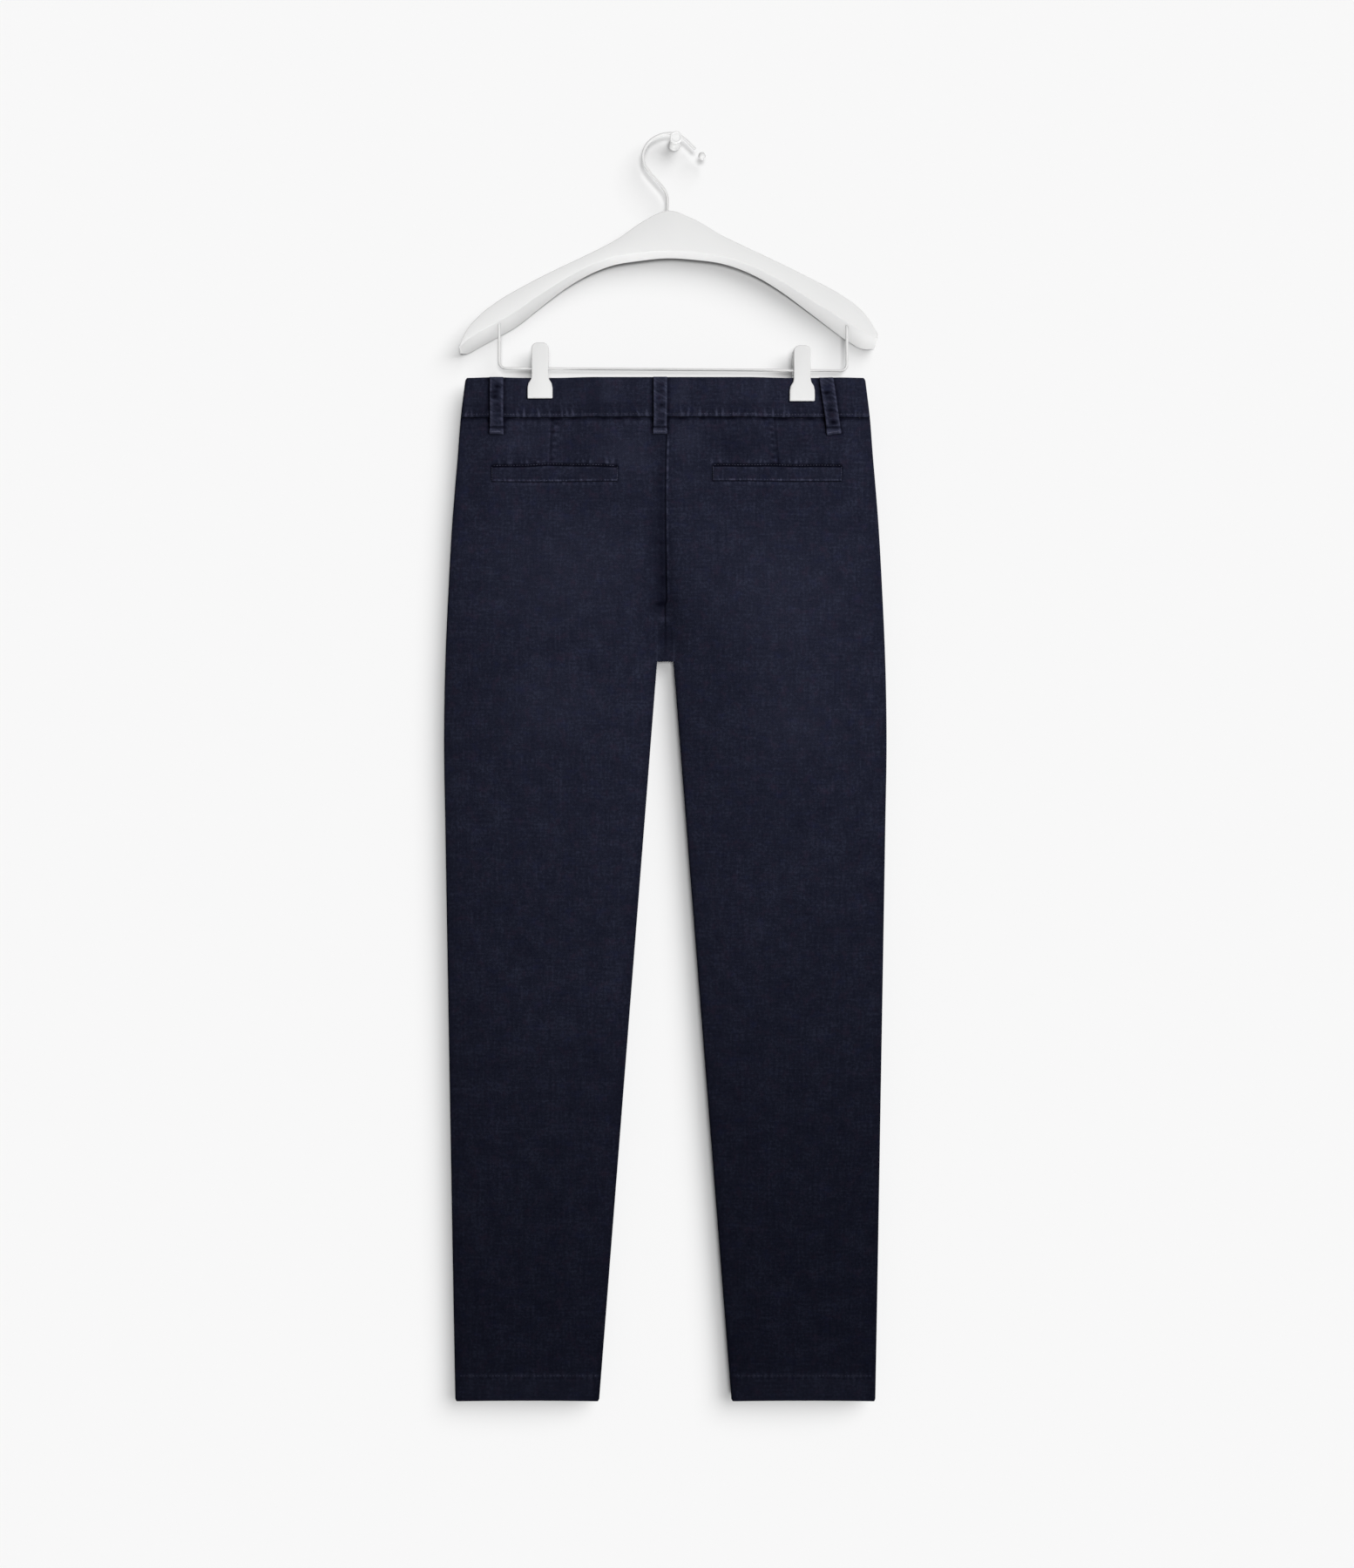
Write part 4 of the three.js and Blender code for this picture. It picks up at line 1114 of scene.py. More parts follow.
def round_edges(piece, width, sharp, finish, smooth):
    """Bevels every edge that turns by more than `sharp` degrees, then finishes the piece."""
    bpy.ops.object.mode_set(mode="OBJECT")
    bpy.ops.object.transform_apply(location=True, rotation=True, scale=True)
    only(piece)
    bevel = piece.modifiers.new("bevel", "BEVEL")
    bevel.width, bevel.segments = width, 4
    bevel.limit_method, bevel.angle_limit = "ANGLE", math.radians(sharp)
    bpy.ops.object.modifier_apply(modifier=bevel.name)
    bpy.ops.object.mode_set(mode="EDIT")
    return done(piece, finish, smooth)


def turned(name, centre, profile, finish, sides):
    """A turned piece whose axis runs along y. profile rows are a radius and a distance along -y."""
    bpy.ops.object.select_all(action="DESELECT")
    (radius, out), rest = profile[0], profile[1:]
    place = (centre[0], centre[1] - out, centre[2])
    bpy.ops.mesh.primitive_circle_add(
        vertices=sides, radius=radius, fill_type="NGON", location=place, rotation=(math.pi / 2, 0, 0)
    )
    piece = begin(name)
    for next_radius, next_out in rest:
        bpy.ops.mesh.extrude_region_move(TRANSFORM_OT_translate={"value": (0, out - next_out, 0)})
        middle = (centre[0], centre[1] - next_out, centre[2])
        ratio = next_radius / radius
        bpy.ops.transform.resize(value=(ratio, 1, ratio), center_override=middle)
        radius, out = next_radius, next_out
    return done(piece, finish)


def wire_piece(name, points, radius, finish, sides):
    """A round bent wire through points, as a swept curve made into a mesh."""
    curve = bpy.data.curves.new(name, "CURVE")
    curve.dimensions = "3D"
    curve.bevel_depth = radius
    curve.bevel_resolution = sides // 4
    curve.use_fill_caps = True
    spline = curve.splines.new("POLY")
    spline.points.add(len(points) - 1)
    for target, point in zip(spline.points, points):
        target.co = (*point, 1)
    placed(name, curve)
    bpy.ops.object.convert(target="MESH")
    piece = bpy.context.object
    bpy.ops.object.mode_set(mode="EDIT")
    return done(piece, finish, 60)


# ---- Hanger ----

HANGER_FRONT_Y = -26 * MM
# Sections of the hanger. Columns: the place along it, the level of its top, and its depth.
HANGER_SECTIONS = np.array((
    (-235.4, -226, 19),
    (-229, -211.8, 24),
    (-215.7, -195.8, 25),
    (-195.8, -179.7, 25),
    (-163.7, -160.7, 23.5),
    (-130.5, -143.7, 20.5),
    (-98.4, -128.5, 17),
    (-65.2, -111.5, 14.5),
    (-33, -89.7, 14),
    (-10.3, -79.8, 14),
    (19, -88.8, 14),
    (48.4, -105.8, 14.5),
    (81.5, -121.9, 16.5),
    (113.7, -137.1, 19.5),
    (145.9, -153.2, 22.5),
    (179, -171.1, 24.5),
    (195.1, -182.5, 25),
    (208.3, -195.8, 25),
    (219.2, -213.5, 20),
)) * MM

# The sloping underside. Columns: the place along the hanger, and its levels at the front and back edges.
HANGER_UNDERSIDE = np.array((
    (-235.4, -228.4, -231.4),
    (-228, -221.3, -230.6),
    (-213.8, -211.8, -223),
    (-195, -201.4, -212.8),
    (-174, -189.1, -201),
    (-147.6, -171.1, -180.5),
    (-119, -153.1, -159.5),
    (-71.8, -131.4, -137),
    (-38.7, -125.7, -131.2),
    (-7.5, -123.8, -128.3),
    (22.8, -125.7, -130.2),
    (51.2, -130.4, -134),
    (89.1, -143.7, -147.5),
    (117.5, -158.8, -164),
    (145.9, -176.8, -184.3),
    (164.8, -188.2, -198.3),
    (188.5, -203.3, -215.5),
    (207.4, -213.7, -225.5),
    (219.2, -219.5, -226),
)) * MM


def hanger(finish):
    """The moulded body: a block drawn out station by station, sloped underneath and rounded at its edges."""
    crest_at, depth_at = curves(HANGER_SECTIONS)
    front_at, back_at = curves(HANGER_UNDERSIDE)
    left, right = HANGER_SECTIONS[0, 0], HANGER_SECTIONS[-1, 0]
    places = np.concatenate((
        left + np.array((0, 3, 7, 12)) * MM,
        np.linspace(left + 18 * MM, right - 16 * MM, 74),
        right - np.array((11, 7, 3, 0)) * MM,
    ))
    x = places[0]
    bpy.ops.object.select_all(action="DESELECT")
    bpy.ops.mesh.primitive_plane_add(size=1, location=(x, 0, 0), rotation=(0, math.pi / 2, 0))
    piece = begin("hanger")
    for place in places[1:]:
        bpy.ops.mesh.extrude_region_move(TRANSFORM_OT_translate={"value": (place - x, 0, 0)})
        x = place
    bpy.ops.mesh.select_all(action="SELECT")
    bpy.ops.mesh.remove_doubles(threshold=1e-6)
    bpy.ops.object.mode_set(mode="OBJECT")
    bpy.ops.object.transform_apply(location=True, rotation=True, scale=True)
    for vertex in piece.data.vertices:
        place = vertex.co.x
        crest, front, back, deep = (float(at(place)) for at in (crest_at, front_at, back_at, depth_at))
        behind, above = vertex.co.y > 0, vertex.co.z > 0
        vertex.co.y = HANGER_FRONT_Y + (deep if behind else 0)
        vertex.co.z = (crest - (1.5 * MM if behind else 0)) if above else (back if behind else front)
    round_edges(piece, 1.9 * MM, 45, finish, 40)
    return settle(piece, "white_plastic", "hanger_body")


HOOK_Y = -19 * MM
HOOK_R = 1.65 * MM
# Bends of the hook's wire. Columns: x and z.
HOOK_BENDS = np.array((
    (-9.4, -91.6),
    (-9.4, -76),
    (-9.1, -64),
    (-12.2, -55.5),
    (-19.4, -46.7),
    (-27, -38),
    (-33.8, -28),
    (-35.4, -16),
    (-29.5, -3.5),
    (-16, 4.8),
    (0, 5.6),
    (9.6, 0.2),
    (16, -5.8),
    (21.5, -11.2),
)) * MM


def through_bends(bends, steps):
    """Points of a smooth curve through the bends, whose pace follows the root of their spacing."""
    padded = np.vstack((2 * bends[0] - bends[1], bends, 2 * bends[-1] - bends[-2]))
    points = []
    for i in range(1, len(padded) - 2):
        before, a, b, after = padded[i - 1:i + 3]
        marks = [0.0]
        for p, q in ((before, a), (a, b), (b, after)):
            marks.append(marks[-1] + math.sqrt(np.linalg.norm(q - p)))
        slope_a = (a - before) / (marks[1] - marks[0]) - (b - before) / (marks[2] - marks[0])
        slope_a = (slope_a + (b - a) / (marks[2] - marks[1])) * (marks[2] - marks[1])
        slope_b = (b - a) / (marks[2] - marks[1]) - (after - a) / (marks[3] - marks[1])
        slope_b = (slope_b + (after - b) / (marks[3] - marks[2])) * (marks[2] - marks[1])
        for t in np.linspace(0, 1, steps, endpoint=False):
            rise = (2 * t**3 - 3 * t**2 + 1) * a + (3 * t**2 - 2 * t**3) * b
            points.append(rise + (t**3 - 2 * t**2 + t) * slope_a + (t**3 - t**2) * slope_b)
    points.append(bends[-1])
    return np.array(points)


def hook(finish):
    """The bent wire, and on its end a cap: a ball that is drawn out along the wire."""
    way = through_bends(HOOK_BENDS, 9)
    points = [(x, HOOK_Y, z) for x, z in way]
    settle(wire_piece("hook", points, HOOK_R, finish, 16), "white_wire", "hook_wire")

    away = Vector((way[-1][0] - way[-3][0], 0, way[-1][1] - way[-3][1])).normalized()
    start = Vector((way[-1][0], HOOK_Y, way[-1][1])) + away * 0.1 * MM
    radius, long = 4 * MM, 14 * MM
    middle = start + away * radius
    bpy.ops.object.select_all(action="DESELECT")
    bpy.ops.mesh.primitive_uv_sphere_add(segments=32, ring_count=16, radius=radius, location=middle)
    piece = begin("hook_tip_cap")
    bpy.ops.object.mode_set(mode="OBJECT")
    for vertex in piece.data.vertices:
        vertex.select = vertex.co.z > radius * 0.05
    bpy.ops.object.mode_set(mode="EDIT")
    bpy.ops.transform.translate(value=(0, 0, long - 2 * radius))
    bpy.ops.object.mode_set(mode="OBJECT")
    piece.rotation_mode = "QUATERNION"
    piece.rotation_quaternion = Vector((0, 0, 1)).rotation_difference(away)
    bpy.ops.object.mode_set(mode="EDIT")
    done(piece, finish, 60)
    return settle(piece, "white_plastic", "hook_tip")


BAR_Y = -21 * MM
BAR_R = 1.5 * MM
BAR_LEFT = (-192.2 * MM, -250.2 * MM, -199 * MM)
BAR_RIGHT = (186.4 * MM, -252.9 * MM, -201 * MM)
BAR_BEND = 7 * MM


def trouser_bar(finish):
    (left_x, left_z, left_top), (right_x, right_z, right_top) = BAR_LEFT, BAR_RIGHT
    turns = np.linspace(0, math.pi / 2, 9)
    points = [(left_x, BAR_Y, left_top)]
    for x, z, inward, corner in ((left_x, left_z, 1, turns), (right_x, right_z, -1, turns[::-1])):
        for turn in corner:
            across, down = BAR_BEND * (1 - math.cos(turn)), BAR_BEND * (1 - math.sin(turn))
            points.append((x + inward * across, BAR_Y, z + down))
    points.append((right_x, BAR_Y, right_top))
    return settle(wire_piece("bar", points, BAR_R, finish, 12), "white_wire", "trouser_bar")


JAW_PAD = 11 * MM  # height of the pad's straight part
JAW_NECK = 12.5 * MM  # from there to where the stalk runs straight
JAW_TOP = 6.4 * MM  # height of the stalk's round top
STALK_SHARE = 9.2 / 13.6  # the stalk's width, as a share of the pad's


def jaw(name, node, outward, finish):
    """One jaw of a clip: a flaring pad and a narrow stalk with a round top, drawn up and then thickened."""
    low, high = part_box(node)
    x = (low[0] + high[0]) / 2
    wall = high[1] - low[1]
    face_y = (low[1] if outward < 0 else high[1]) - outward * wall
    pad_half = (high[0] - low[0]) / 2
    stalk_half = pad_half * STALK_SHARE
    middle = (x, face_y, low[2] + JAW_PAD / 2)
    bpy.ops.object.select_all(action="DESELECT")
    bpy.ops.mesh.primitive_plane_add(size=1, location=middle, rotation=(math.pi / 2, 0, 0))
    piece = begin(name)
    bpy.ops.transform.resize(value=(2 * pad_half, 1, JAW_PAD), center_override=middle)
    # Steps up the jaw: the rise, and the half width there.
    steps = (
        (5 * MM, pad_half * 0.93),
        (4.5 * MM, stalk_half * 1.07),
        (3 * MM, stalk_half),
        (high[2] - low[2] - JAW_PAD - JAW_NECK - JAW_TOP, stalk_half),
        (2.6 * MM, stalk_half * 0.95),
        (1.8 * MM, stalk_half * 0.82),
        (1.2 * MM, stalk_half * 0.64),
        (0.8 * MM, stalk_half * 0.38),
    )
    half, level = pad_half, low[2] + JAW_PAD
    bpy.ops.object.mode_set(mode="OBJECT")
    for part in (*piece.data.edges, *piece.data.polygons):
        part.select = False
    for vertex in piece.data.vertices:
        vertex.select = (piece.matrix_world @ vertex.co).z > level - MM
    bpy.ops.object.mode_set(mode="EDIT")
    bpy.ops.mesh.select_mode(type="VERT")
    for rise, next_half in steps:
        bpy.ops.mesh.extrude_region_move(TRANSFORM_OT_translate={"value": (0, 0, rise)})
        level += rise
        bpy.ops.transform.resize(value=(next_half / half, 1, 1), center_override=(x, face_y, level))
        half = next_half
    bpy.ops.mesh.select_all(action="SELECT")
    bpy.ops.mesh.extrude_region_move(TRANSFORM_OT_translate={"value": (0, outward * wall, 0)})
    bpy.ops.mesh.select_all(action="SELECT")
    bpy.ops.mesh.normals_make_consistent(inside=False)
    bpy.ops.mesh.dissolve_limited(angle_limit=math.radians(1))
    round_edges(piece, 1.1 * MM, 40, finish, 42)
    return settle(piece, "white_plastic", node)


def pivot(side, finish):
    """The block between a clip's jaws, on which they turn."""
    low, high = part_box(f"clip_{side}_pivot")
    middle = [(a + b) / 2 for a, b in zip(low, high)]
    bpy.ops.object.select_all(action="DESELECT")
    bpy.ops.mesh.primitive_cube_add(size=1, location=middle)
    piece = begin(f"pivot_{side}")
    bpy.ops.transform.resize(value=[b - a for a, b in zip(low, high)], center_override=middle)
    round_edges(piece, 1.4 * MM, 30, finish, 40)
    return settle(piece, "white_plastic", f"clip_{side}_pivot")


def clips(finish):
    for side, _ in SIDES:
        for part, outward in (("room", -1), ("wall", 1)):
            jaw(f"jaw_{part}_{side}", f"clip_{side}_{part}_jaw", outward, finish)
        pivot(side, finish)


# Rows of a radius and a distance out of the wall, in millimetres.
PEG_PROFILE = np.array((
    (6.4, 0), (6.4, 2.6), (6.1, 3.2), (6, 4), (6, 15), (5.6, 15.9), (4.2, 16.9), (3.6, 17.3), (3.5, 18),
    (3.5, 20.4), (3.9, 21), (5.4, 21.6), (6.3, 22.1), (6.7, 22.8), (6.7, 24.9), (6.5, 25.5), (6.05, 25.9),
    (5.6, 26), (5.1, 25.95), (4.8, 25.6), (4.5, 25.35), (3.2, 25.4), (1.6, 25.55), (0.9, 25.5), (0.2, 25.3),
)) * MM
# Rows of a radius and a distance towards the wall, below 0, from the button's back.
BUTTON_PROFILE = np.array((
    (5.4, 0), (6.9, -0.35), (7.4, -0.9), (7.5, -1.5), (7.3, -2.2), (6.8, -2.7), (6.2, -2.85), (5.6, -2.7),
    (5.1, -2.35), (4.4, -2.2), (2, -2.15), (0.3, -2.15),
)) * MM


def wall_peg(finish):
    return settle(turned("peg", (0, 0, 0), PEG_PROFILE, finish, 64), "white_paint", "wall_peg")


def button(finish, thread_finish):
    """The waist button, sewn on with a cross of doubled thread."""
    low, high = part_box("waist_button")
    x, z = (low[0] + high[0]) / 2, (low[2] + high[2]) / 2
    piece = turned("button", (x, low[1], z), BUTTON_PROFILE, finish, 48)
    cross = Thread(0.3 * MM)
    arm = 1.7 * MM
    y = high[1] - 0.75 * MM
    for shift in (-0.35 * MM, 0.35 * MM):
        for way in (-arm, arm):
            cross.stitch((x - arm, y, z - way + shift), (x + arm, y, z + way + shift), FRONT)
    cross.made("stitching_button", thread_finish)
    return settle(piece, "navy_button", "waist_button")


# ---- Finishes ----

class Field:
    """A socket on which sums can be written."""

    def __init__(self, finish, socket):
        self.finish, self.socket = finish, socket

    def __add__(self, other):
        return self.finish.sum("ADD", self, other)

    __radd__ = __add__

    def __sub__(self, other):
        return self.finish.sum("SUBTRACT", self, other)

    def __mul__(self, other):
        return self.finish.sum("MULTIPLY", self, other)


class Finish:
    """A material and its tree of nodes."""

    def __init__(self, name, **shader):
        self.material = bpy.data.materials.new(name)
        self.material.use_nodes = True
        self.nodes = self.material.node_tree.nodes
        self.links = self.material.node_tree.links
        self.shader = self.nodes["Principled BSDF"]
        for key, value in shader.items():
            self.shader.inputs[key.replace("_", " ")].default_value = value

    def give(self, socket, value):
        if isinstance(value, Field):
            self.links.new(value.socket, socket)
        else:
            socket.default_value = value

    def node(self, kind, settings=None, values=None, out=0):
        node = self.nodes.new(kind)
        for key, value in (settings or {}).items():
            setattr(node, key, value)
        for key, value in (values or {}).items():
            self.give(node.inputs[key], value)
        return Field(self, node.outputs[out])

    def sum(self, operation, a, b=0):
        return self.node("ShaderNodeMath", {"operation": operation}, {0: a, 1: b})

    def sine(self, value):
        return self.sum("SINE", value)

    def clamp(self, value):
        return self.node("ShaderNodeClamp", None, {"Value": value})

    def mix(self, share, a, b):
        return self.node("ShaderNodeMix", {"data_type": "RGBA"}, {0: share, 6: a, 7: b}, 2)

    def scaled(self, vector, by):
        return self.node("ShaderNodeVectorMath", {"operation": "MULTIPLY"}, {0: vector, 1: by})

    def noise(self, vector, scale, detail, rough):
        values = {"Vector": vector, "Scale": scale, "Detail": detail, "Roughness": rough}
        return self.node("ShaderNodeTexNoise", {"noise_dimensions": "3D"}, values)

    def uv(self):
        return self.node("ShaderNodeUVMap", {"uv_map": "cloth"})

    def place(self):
        return self.node("ShaderNodeTexCoord", None, None, 3)

    def parts(self, vector):
        split = self.nodes.new("ShaderNodeSeparateXYZ")
        self.give(split.inputs[0], vector)
        return [Field(self, socket) for socket in split.outputs]

    def bump(self, height, distance, strength):
        values = {"Height": height, "Distance": distance, "Strength": strength}
        return self.node("ShaderNodeBump", None, values)

    def paint(self, **sockets):
        for key, value in sockets.items():
            self.give(self.shader.inputs[key.replace("_", " ")], value)
        return self.material


NAVY_DEEP = (0.0027, 0.0031, 0.0072, 1)
NAVY = (0.0072, 0.0082, 0.0152, 1)
NAVY_BLUE = (0.0050, 0.0062, 0.0180, 1)
NAVY_PLUM = (0.0102, 0.0070, 0.0140, 1)
# Pale tone for rubbed edges, used also as painted highlight on ridges and gathers.
NAVY_WORN_AND_LIT = (0.0270, 0.0290, 0.0490, 1)
NAVY_PALE = (0.0100, 0.0114, 0.0212, 1)
# Painted shade, near black, for grooves, slits, hollows and shadows beside raised parts.
NAVY_PAINTED_SHADE = (0.0009, 0.0010, 0.0032, 1)
RIB = 0.95 * MM  # spacing of the twill's diagonal ribs, measured along an edge
# Tones between which each finish varies.
THREAD_TONES = ((0.018, 0.019, 0.036, 1), (0.050, 0.052, 0.088, 1))
THREAD_DEEP = (0.0065, 0.0070, 0.0140, 1)
PLASTIC_TONES = ((0.53, 0.53, 0.53, 1), (0.55, 0.55, 0.547, 1))
WIRE_TONES = ((0.55, 0.55, 0.55, 1), (0.59, 0.59, 0.585, 1))
PEG_TONES = ((0.60, 0.60, 0.60, 1), (0.66, 0.66, 0.655, 1))
BUTTON_TONES = ((0.006, 0.007, 0.014, 1), (0.022, 0.025, 0.042, 1))


def navy_twill():
    """Garment-dyed cotton twill: fine diagonal ribs, slubs both ways, cloudy dye, pale rubbed edges with
    painted highlight, and painted shade.
    """
    finish = Finish(
        "navy twill", Roughness=0.9, Specular_IOR_Level=0.02, Sheen_Weight=0.008, Sheen_Roughness=0.5,
        Sheen_Tint=(0.55, 0.6, 0.8, 1),
    )
    uv = finish.uv()
    across, along, _ = finish.parts(uv)
    rib = finish.sine((across + along) * (2 * math.pi / RIB))
    weft = finish.noise(finish.scaled(uv, (0.16, 1, 1)), 1500, 2, 0.6)
    warp = finish.noise(finish.scaled(uv, (1, 0.12, 1)), 1300, 2, 0.6)
    weft_slub = finish.noise(finish.scaled(uv, (0.1, 1, 1)), 420, 2, 0.5)
    warp_slub = finish.noise(finish.scaled(uv, (1, 0.08, 1)), 380, 2, 0.5)
    grain = finish.noise(uv, 330, 3, 0.6)
    cloud = finish.noise(uv, 46, 3, 0.55)
    drift = finish.noise(uv, 9, 2, 0.5)
    threads = (weft + warp - 1) * 0.5 + (weft_slub + warp_slub - 1) * 0.75 + rib * 0.05
    tone = 0.5 + threads * 0.75 + (grain - 0.5) * 1.35 + (cloud - 0.5) * 0.75 + (drift - 0.5) * 0.3
    tone = finish.clamp(tone)
    dyed = finish.mix(tone, NAVY_DEEP, NAVY)
    dyed = finish.mix(finish.clamp(tone * 1.9 - 1.05), dyed, NAVY_PALE)
    plum = finish.clamp((finish.noise(uv, 84, 3, 0.65) - 0.53) * 4)
    dyed = finish.mix(plum * 0.6, dyed, NAVY_PLUM)
    blue = finish.clamp((finish.noise(finish.scaled(uv, (1, 1.3, 1)), 61, 3, 0.6) - 0.55) * 4)
    dyed = finish.mix(blue * 0.5, dyed, NAVY_BLUE)
    worn_and_lit = finish.node("ShaderNodeAttribute", {"attribute_name": "wear"}, None, 2)
    patchy = finish.noise(uv, 620, 2, 0.6) * 1.1 + 0.35
    # Above 0 the per-point value mixes in the pale tone: rubbed edges and painted highlight.
    dyed = finish.mix(finish.clamp(worn_and_lit * patchy * 1.05), dyed, NAVY_WORN_AND_LIT)
    # Below 0 it mixes in painted shade.
    dyed = finish.mix(finish.clamp(worn_and_lit * -0.85), dyed, NAVY_PAINTED_SHADE)
    relief = rib * 0.35 + weft * 1.1 + warp * 1.0 + (weft_slub + warp_slub) * 1.6 + grain * 1.4
    normal = finish.bump(relief, 0.16 * MM, 0.9)
    return finish.paint(Base_Color=dyed, Normal=normal, Roughness=0.84 + grain * 0.14)


def thread_finish():
    finish = Finish("navy thread", Roughness=0.7, Specular_IOR_Level=0.25)
    place = finish.place()
    fibre = finish.noise(place, 2600, 2, 0.5)
    faded = finish.clamp((finish.noise(place, 150, 2, 0.6) - 0.42) * 5)
    tone = finish.mix(fibre, *THREAD_TONES)
    tone = finish.mix(faded, THREAD_DEEP, tone)
    return finish.paint(Base_Color=tone, Normal=finish.bump(fibre, 0.05 * MM, 0.6))


def white_plastic():
    finish = Finish("white plastic", Specular_IOR_Level=0.4)
    place = finish.place()
    fine = finish.noise(place, 900, 2, 0.5)
    broad = finish.noise(place, 22, 3, 0.5)
    tone = finish.mix(broad, *PLASTIC_TONES)
    normal = finish.bump(fine * 0.6 + broad * 2, 0.06 * MM, 0.5)
    return finish.paint(Base_Color=tone, Roughness=0.42 + fine * 0.1, Normal=normal)


def white_wire():
    finish = Finish("white coated wire", Specular_IOR_Level=0.1)
    place = finish.place()
    fine = finish.noise(place, 1400, 2, 0.5)
    tone = finish.mix(fine, *WIRE_TONES)
    normal = finish.bump(fine, 0.02 * MM, 0.3)
    return finish.paint(Base_Color=tone, Roughness=0.6 + fine * 0.1, Normal=normal)


def white_paint():
    finish = Finish("white painted peg", Specular_IOR_Level=0.2)
    place = finish.place()
    brushed = finish.noise(finish.scaled(place, (1, 0.3, 1)), 700, 2, 0.5)
    tone = finish.mix(brushed, *PEG_TONES)
    normal = finish.bump(brushed, 0.03 * MM, 0.4)
    return finish.paint(Base_Color=tone, Roughness=0.5 + brushed * 0.14, Normal=normal)


def navy_button():
    finish = Finish("navy button", Specular_IOR_Level=0.5)
    place = finish.place()
    swirl = finish.noise(finish.scaled(place, (1, 1, 2.4)), 160, 4, 0.65)
    tone = finish.mix(swirl, *BUTTON_TONES)
    return finish.paint(Base_Color=tone, Roughness=0.3 + swirl * 0.15)


# ---- Room, light and camera ----

WALL_Y = 0.3 * MM
FLOOR_Z = -1.66
WALL_TONE = (0.9, 0.9, 0.9, 1)


def room():
    """The wall, which is clear when seen from behind, and the floor."""
    finish = Finish("pale wall", Roughness=1.0, Specular_IOR_Level=0.0, Base_Color=WALL_TONE)
    pale = Field(finish, finish.shader.outputs[0])
    clear = finish.node("ShaderNodeBsdfTransparent")
    behind = finish.node("ShaderNodeNewGeometry", None, None, 6)
    faced = finish.node("ShaderNodeMixShader", None, {0: behind, 1: pale, 2: clear})
    finish.links.new(faced.socket, finish.nodes["Material Output"].inputs["Surface"])
    bpy.ops.object.select_all(action="DESELECT")
    bpy.ops.mesh.primitive_plane_add(size=8, location=(0, WALL_Y, -0.7), rotation=(math.pi / 2, 0, 0))
    wall = bpy.context.object
    wall.name = "wall"
    wall.data.materials.append(finish.material)

    floor_finish = Finish("pale floor", Roughness=0.9, Specular_IOR_Level=0.1, Base_Color=WALL_TONE)
    bpy.ops.mesh.primitive_plane_add(size=12, location=(0, 0, FLOOR_Z))
    floor = bpy.context.object
    floor.name = "floor"
    floor.data.materials.append(floor_finish.material)
    for ray in ("visible_shadow", "visible_diffuse", "visible_glossy", "visible_transmission"):
        setattr(wall, ray, False)
        setattr(floor, ray, False)
    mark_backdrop(wall, floor)


# Distant lights. Columns: name, the direction each shines from, its spread in degrees, and its strength.
SUNS = (
    ("key", (0.47, -0.75, 0.47), 50, 2.21),
    ("front", (0.02, -1, -0.05), 16, 1.36),
    ("behind", (0.25, 0.9, 0.35), 60, 3.4),
)
# The light that wall, floor and side of the room throw back on the hard pieces alone.
HANGER_SUNS = (
    ("bounce", (0.04, -0.1, -1), 80, 4.4),
    ("side", (-1, -0.12, -0.1), 90, 1.0),
)
UPPER_POWER = 480
UPPER_TINT = (1, 0.985, 0.94)
UPPER_PLACE = (0.95, -2.3, 0.45)
UPPER_AIM = (0, 0, -0.41)
BACKDROP = (0.94, 0.94, 0.94, 1)
FILL = 0.085


def sun(name, towards, angle, strength):
    """A distant light that shines from the direction `towards`."""
    light = bpy.data.lights.new(name, "SUN")
    light.angle = math.radians(angle)
    light.energy = strength
    lamp = placed(name, light)
    lamp.rotation_euler = Vector(towards).to_track_quat("Z", "Y").to_euler()
    return lamp


def gathered(name, *beginnings):
    """A collection of the pieces whose names begin in one of these ways."""
    group = bpy.data.collections.new(name)
    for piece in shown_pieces():
        if piece.name.startswith(beginnings):
            group.objects.link(piece)
    return group


def upper_light():
    """A soft lamp that lights the cloth's upper part alone and fades towards the hems."""
    light = bpy.data.lights.new("upper", "SPOT")
    light.energy = UPPER_POWER
    light.color = UPPER_TINT
    light.shadow_soft_size = 0.25
    light.spot_size = math.radians(31)
    light.spot_blend = 0.8
    lamp = placed("upper", light)
    lamp.location = UPPER_PLACE
    lamp.rotation_euler = (Vector(UPPER_AIM) - lamp.location).to_track_quat("-Z", "Y").to_euler()
    lamp.light_linking.receiver_collection = gathered("lit_cloth", "cloth", "stitching")


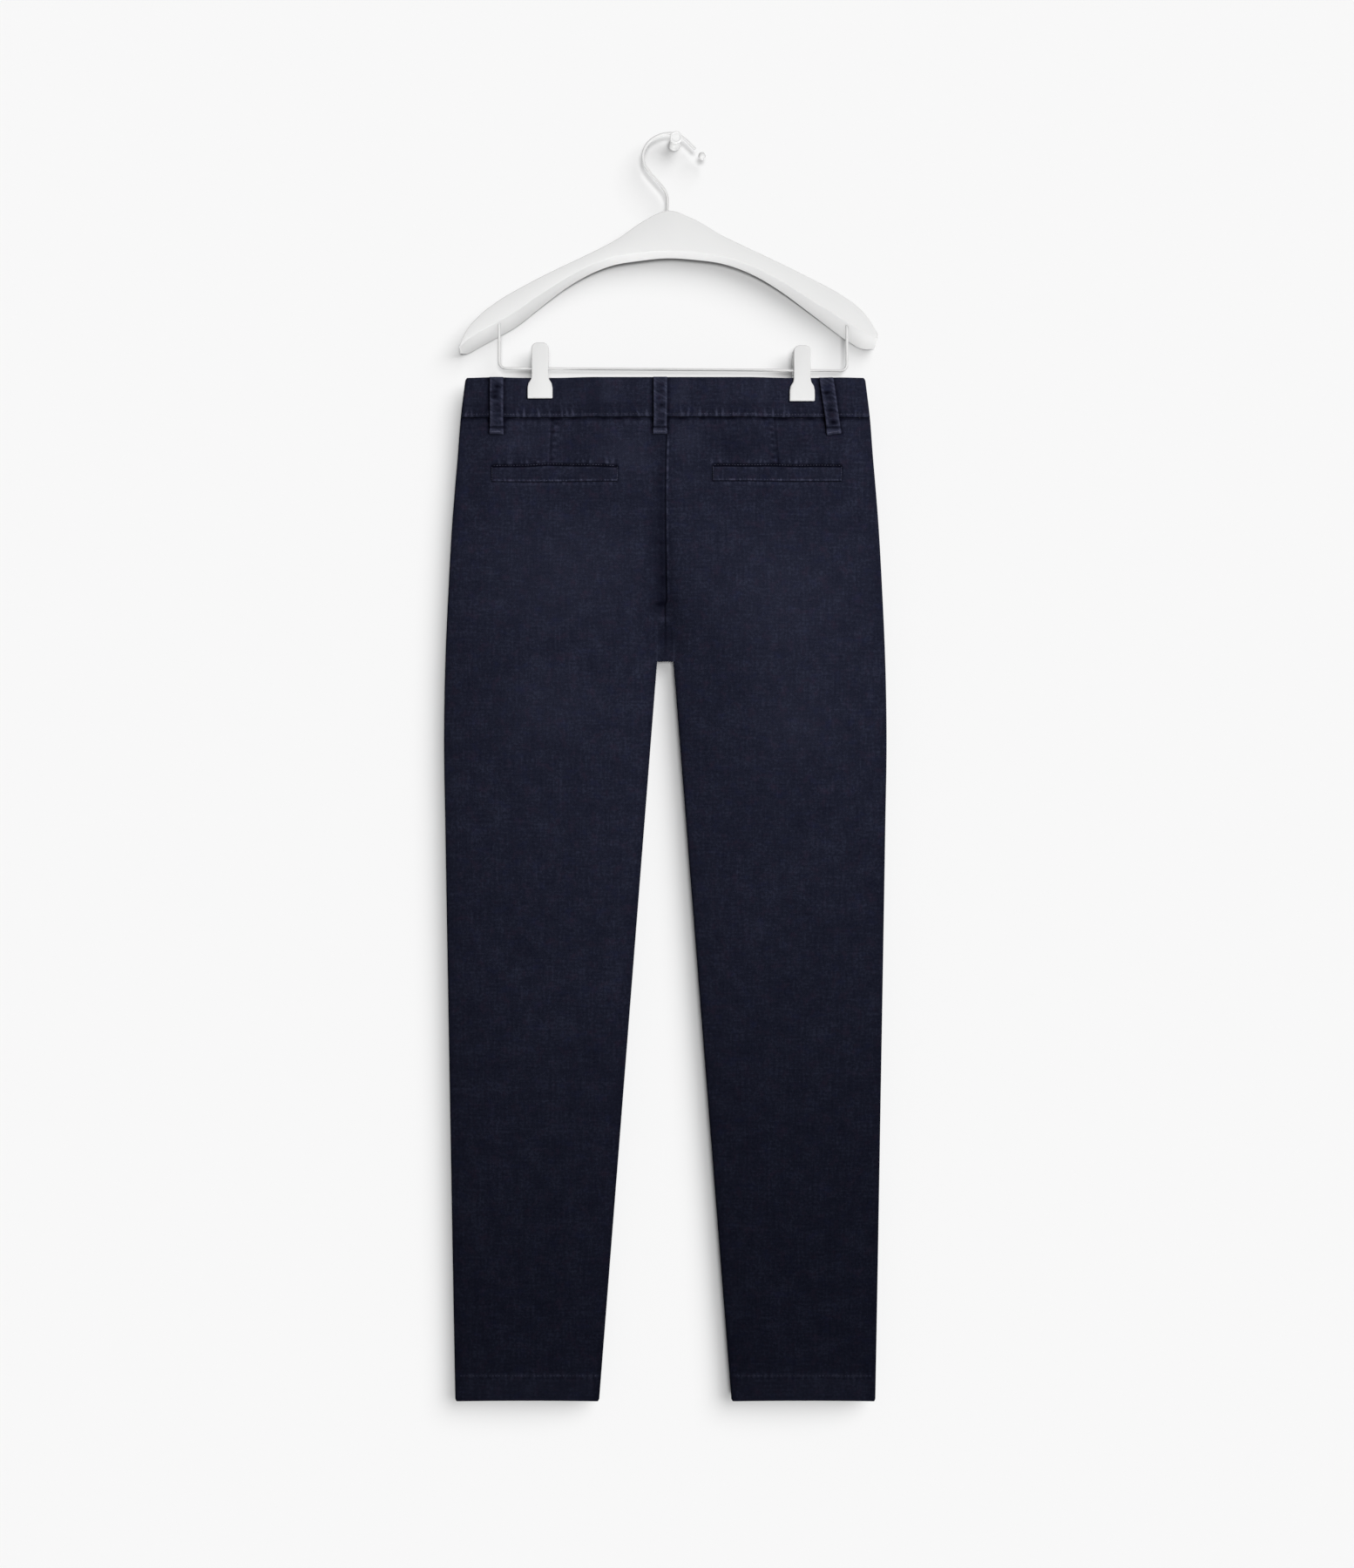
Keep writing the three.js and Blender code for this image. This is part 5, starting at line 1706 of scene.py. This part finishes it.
def lights():
    for row in SUNS:
        sun(*row)
    upper_light()
    hard = gathered("lit_hanger", "hanger", "hook", "jaw", "pivot", "bar", "peg")
    for row in HANGER_SUNS:
        sun(*row).light_linking.receiver_collection = hard
    for piece in hard.objects:
        piece.visible_diffuse = False
    world = bpy.data.worlds.new("studio")
    bpy.context.scene.world = world
    world.use_nodes = True
    tree = world.node_tree
    seen = tree.nodes["Background"]
    seen.inputs["Color"].default_value = BACKDROP
    fill = tree.nodes.new("ShaderNodeBackground")
    fill.inputs["Color"].default_value = (1, 1, 1, 1)
    fill.inputs["Strength"].default_value = FILL
    eye = tree.nodes.new("ShaderNodeLightPath")
    mix = tree.nodes.new("ShaderNodeMixShader")
    tree.links.new(eye.outputs["Is Camera Ray"], mix.inputs[0])
    tree.links.new(fill.outputs[0], mix.inputs[1])
    tree.links.new(seen.outputs[0], mix.inputs[2])
    tree.links.new(mix.outputs[0], tree.nodes["World Output"].inputs["Surface"])


VIEW_TALL = 1.692  # height of the view on the cloth
VIEW_AWAY = 2.0  # from the cloth to the camera
VIEW_ASIDE = -0.14
VIEW_LEVEL = -0.7031
CLOTH_FACE_Y = -0.04


def camera():
    """A level camera in the room, a little left of the peg, whose shift centres the peg again."""
    data = bpy.data.cameras.new("camera")
    data.sensor_width = 36
    data.lens = data.sensor_width * VIEW_AWAY / VIEW_TALL
    data.shift_x = -VIEW_ASIDE / VIEW_TALL
    data.clip_start = 0.05
    eye = placed("camera", data)
    eye.location = (VIEW_ASIDE, CLOTH_FACE_Y - VIEW_AWAY, VIEW_LEVEL)
    eye.rotation_euler = (math.pi / 2, 0, 0)
    scene = bpy.context.scene
    scene.camera = eye
    scene.view_settings.view_transform = "Standard"


# ---- The whole ----

twill = navy_twill()
thread = thread_finish()
plastic = white_plastic()
coated = white_wire()

for side_name, side_sign in SIDES:
    back_panel(side_name, side_sign, twill)
    front_panel(side_name, side_sign, twill)
    pocket_facing(side_name, side_sign, twill)
    hem_fold("back", side_name, side_sign, BACK, twill)
    hem_fold("front", side_name, side_sign, FRONT, twill)
for row in WELTS:
    welt(*row, twill)
fly(twill)
waistband(twill)
for row in LOOPS:
    belt_loop(*row, twill)
waistband_stitches(thread)
welt_stitches(thread)
leg_stitches(thread)
fly_stitches(thread)
loop_tacks(thread)
hanger(plastic)
hook(coated)
trouser_bar(coated)
clips(plastic)
wall_peg(white_paint())
button(navy_button(), thread)
room()
lights()
camera()
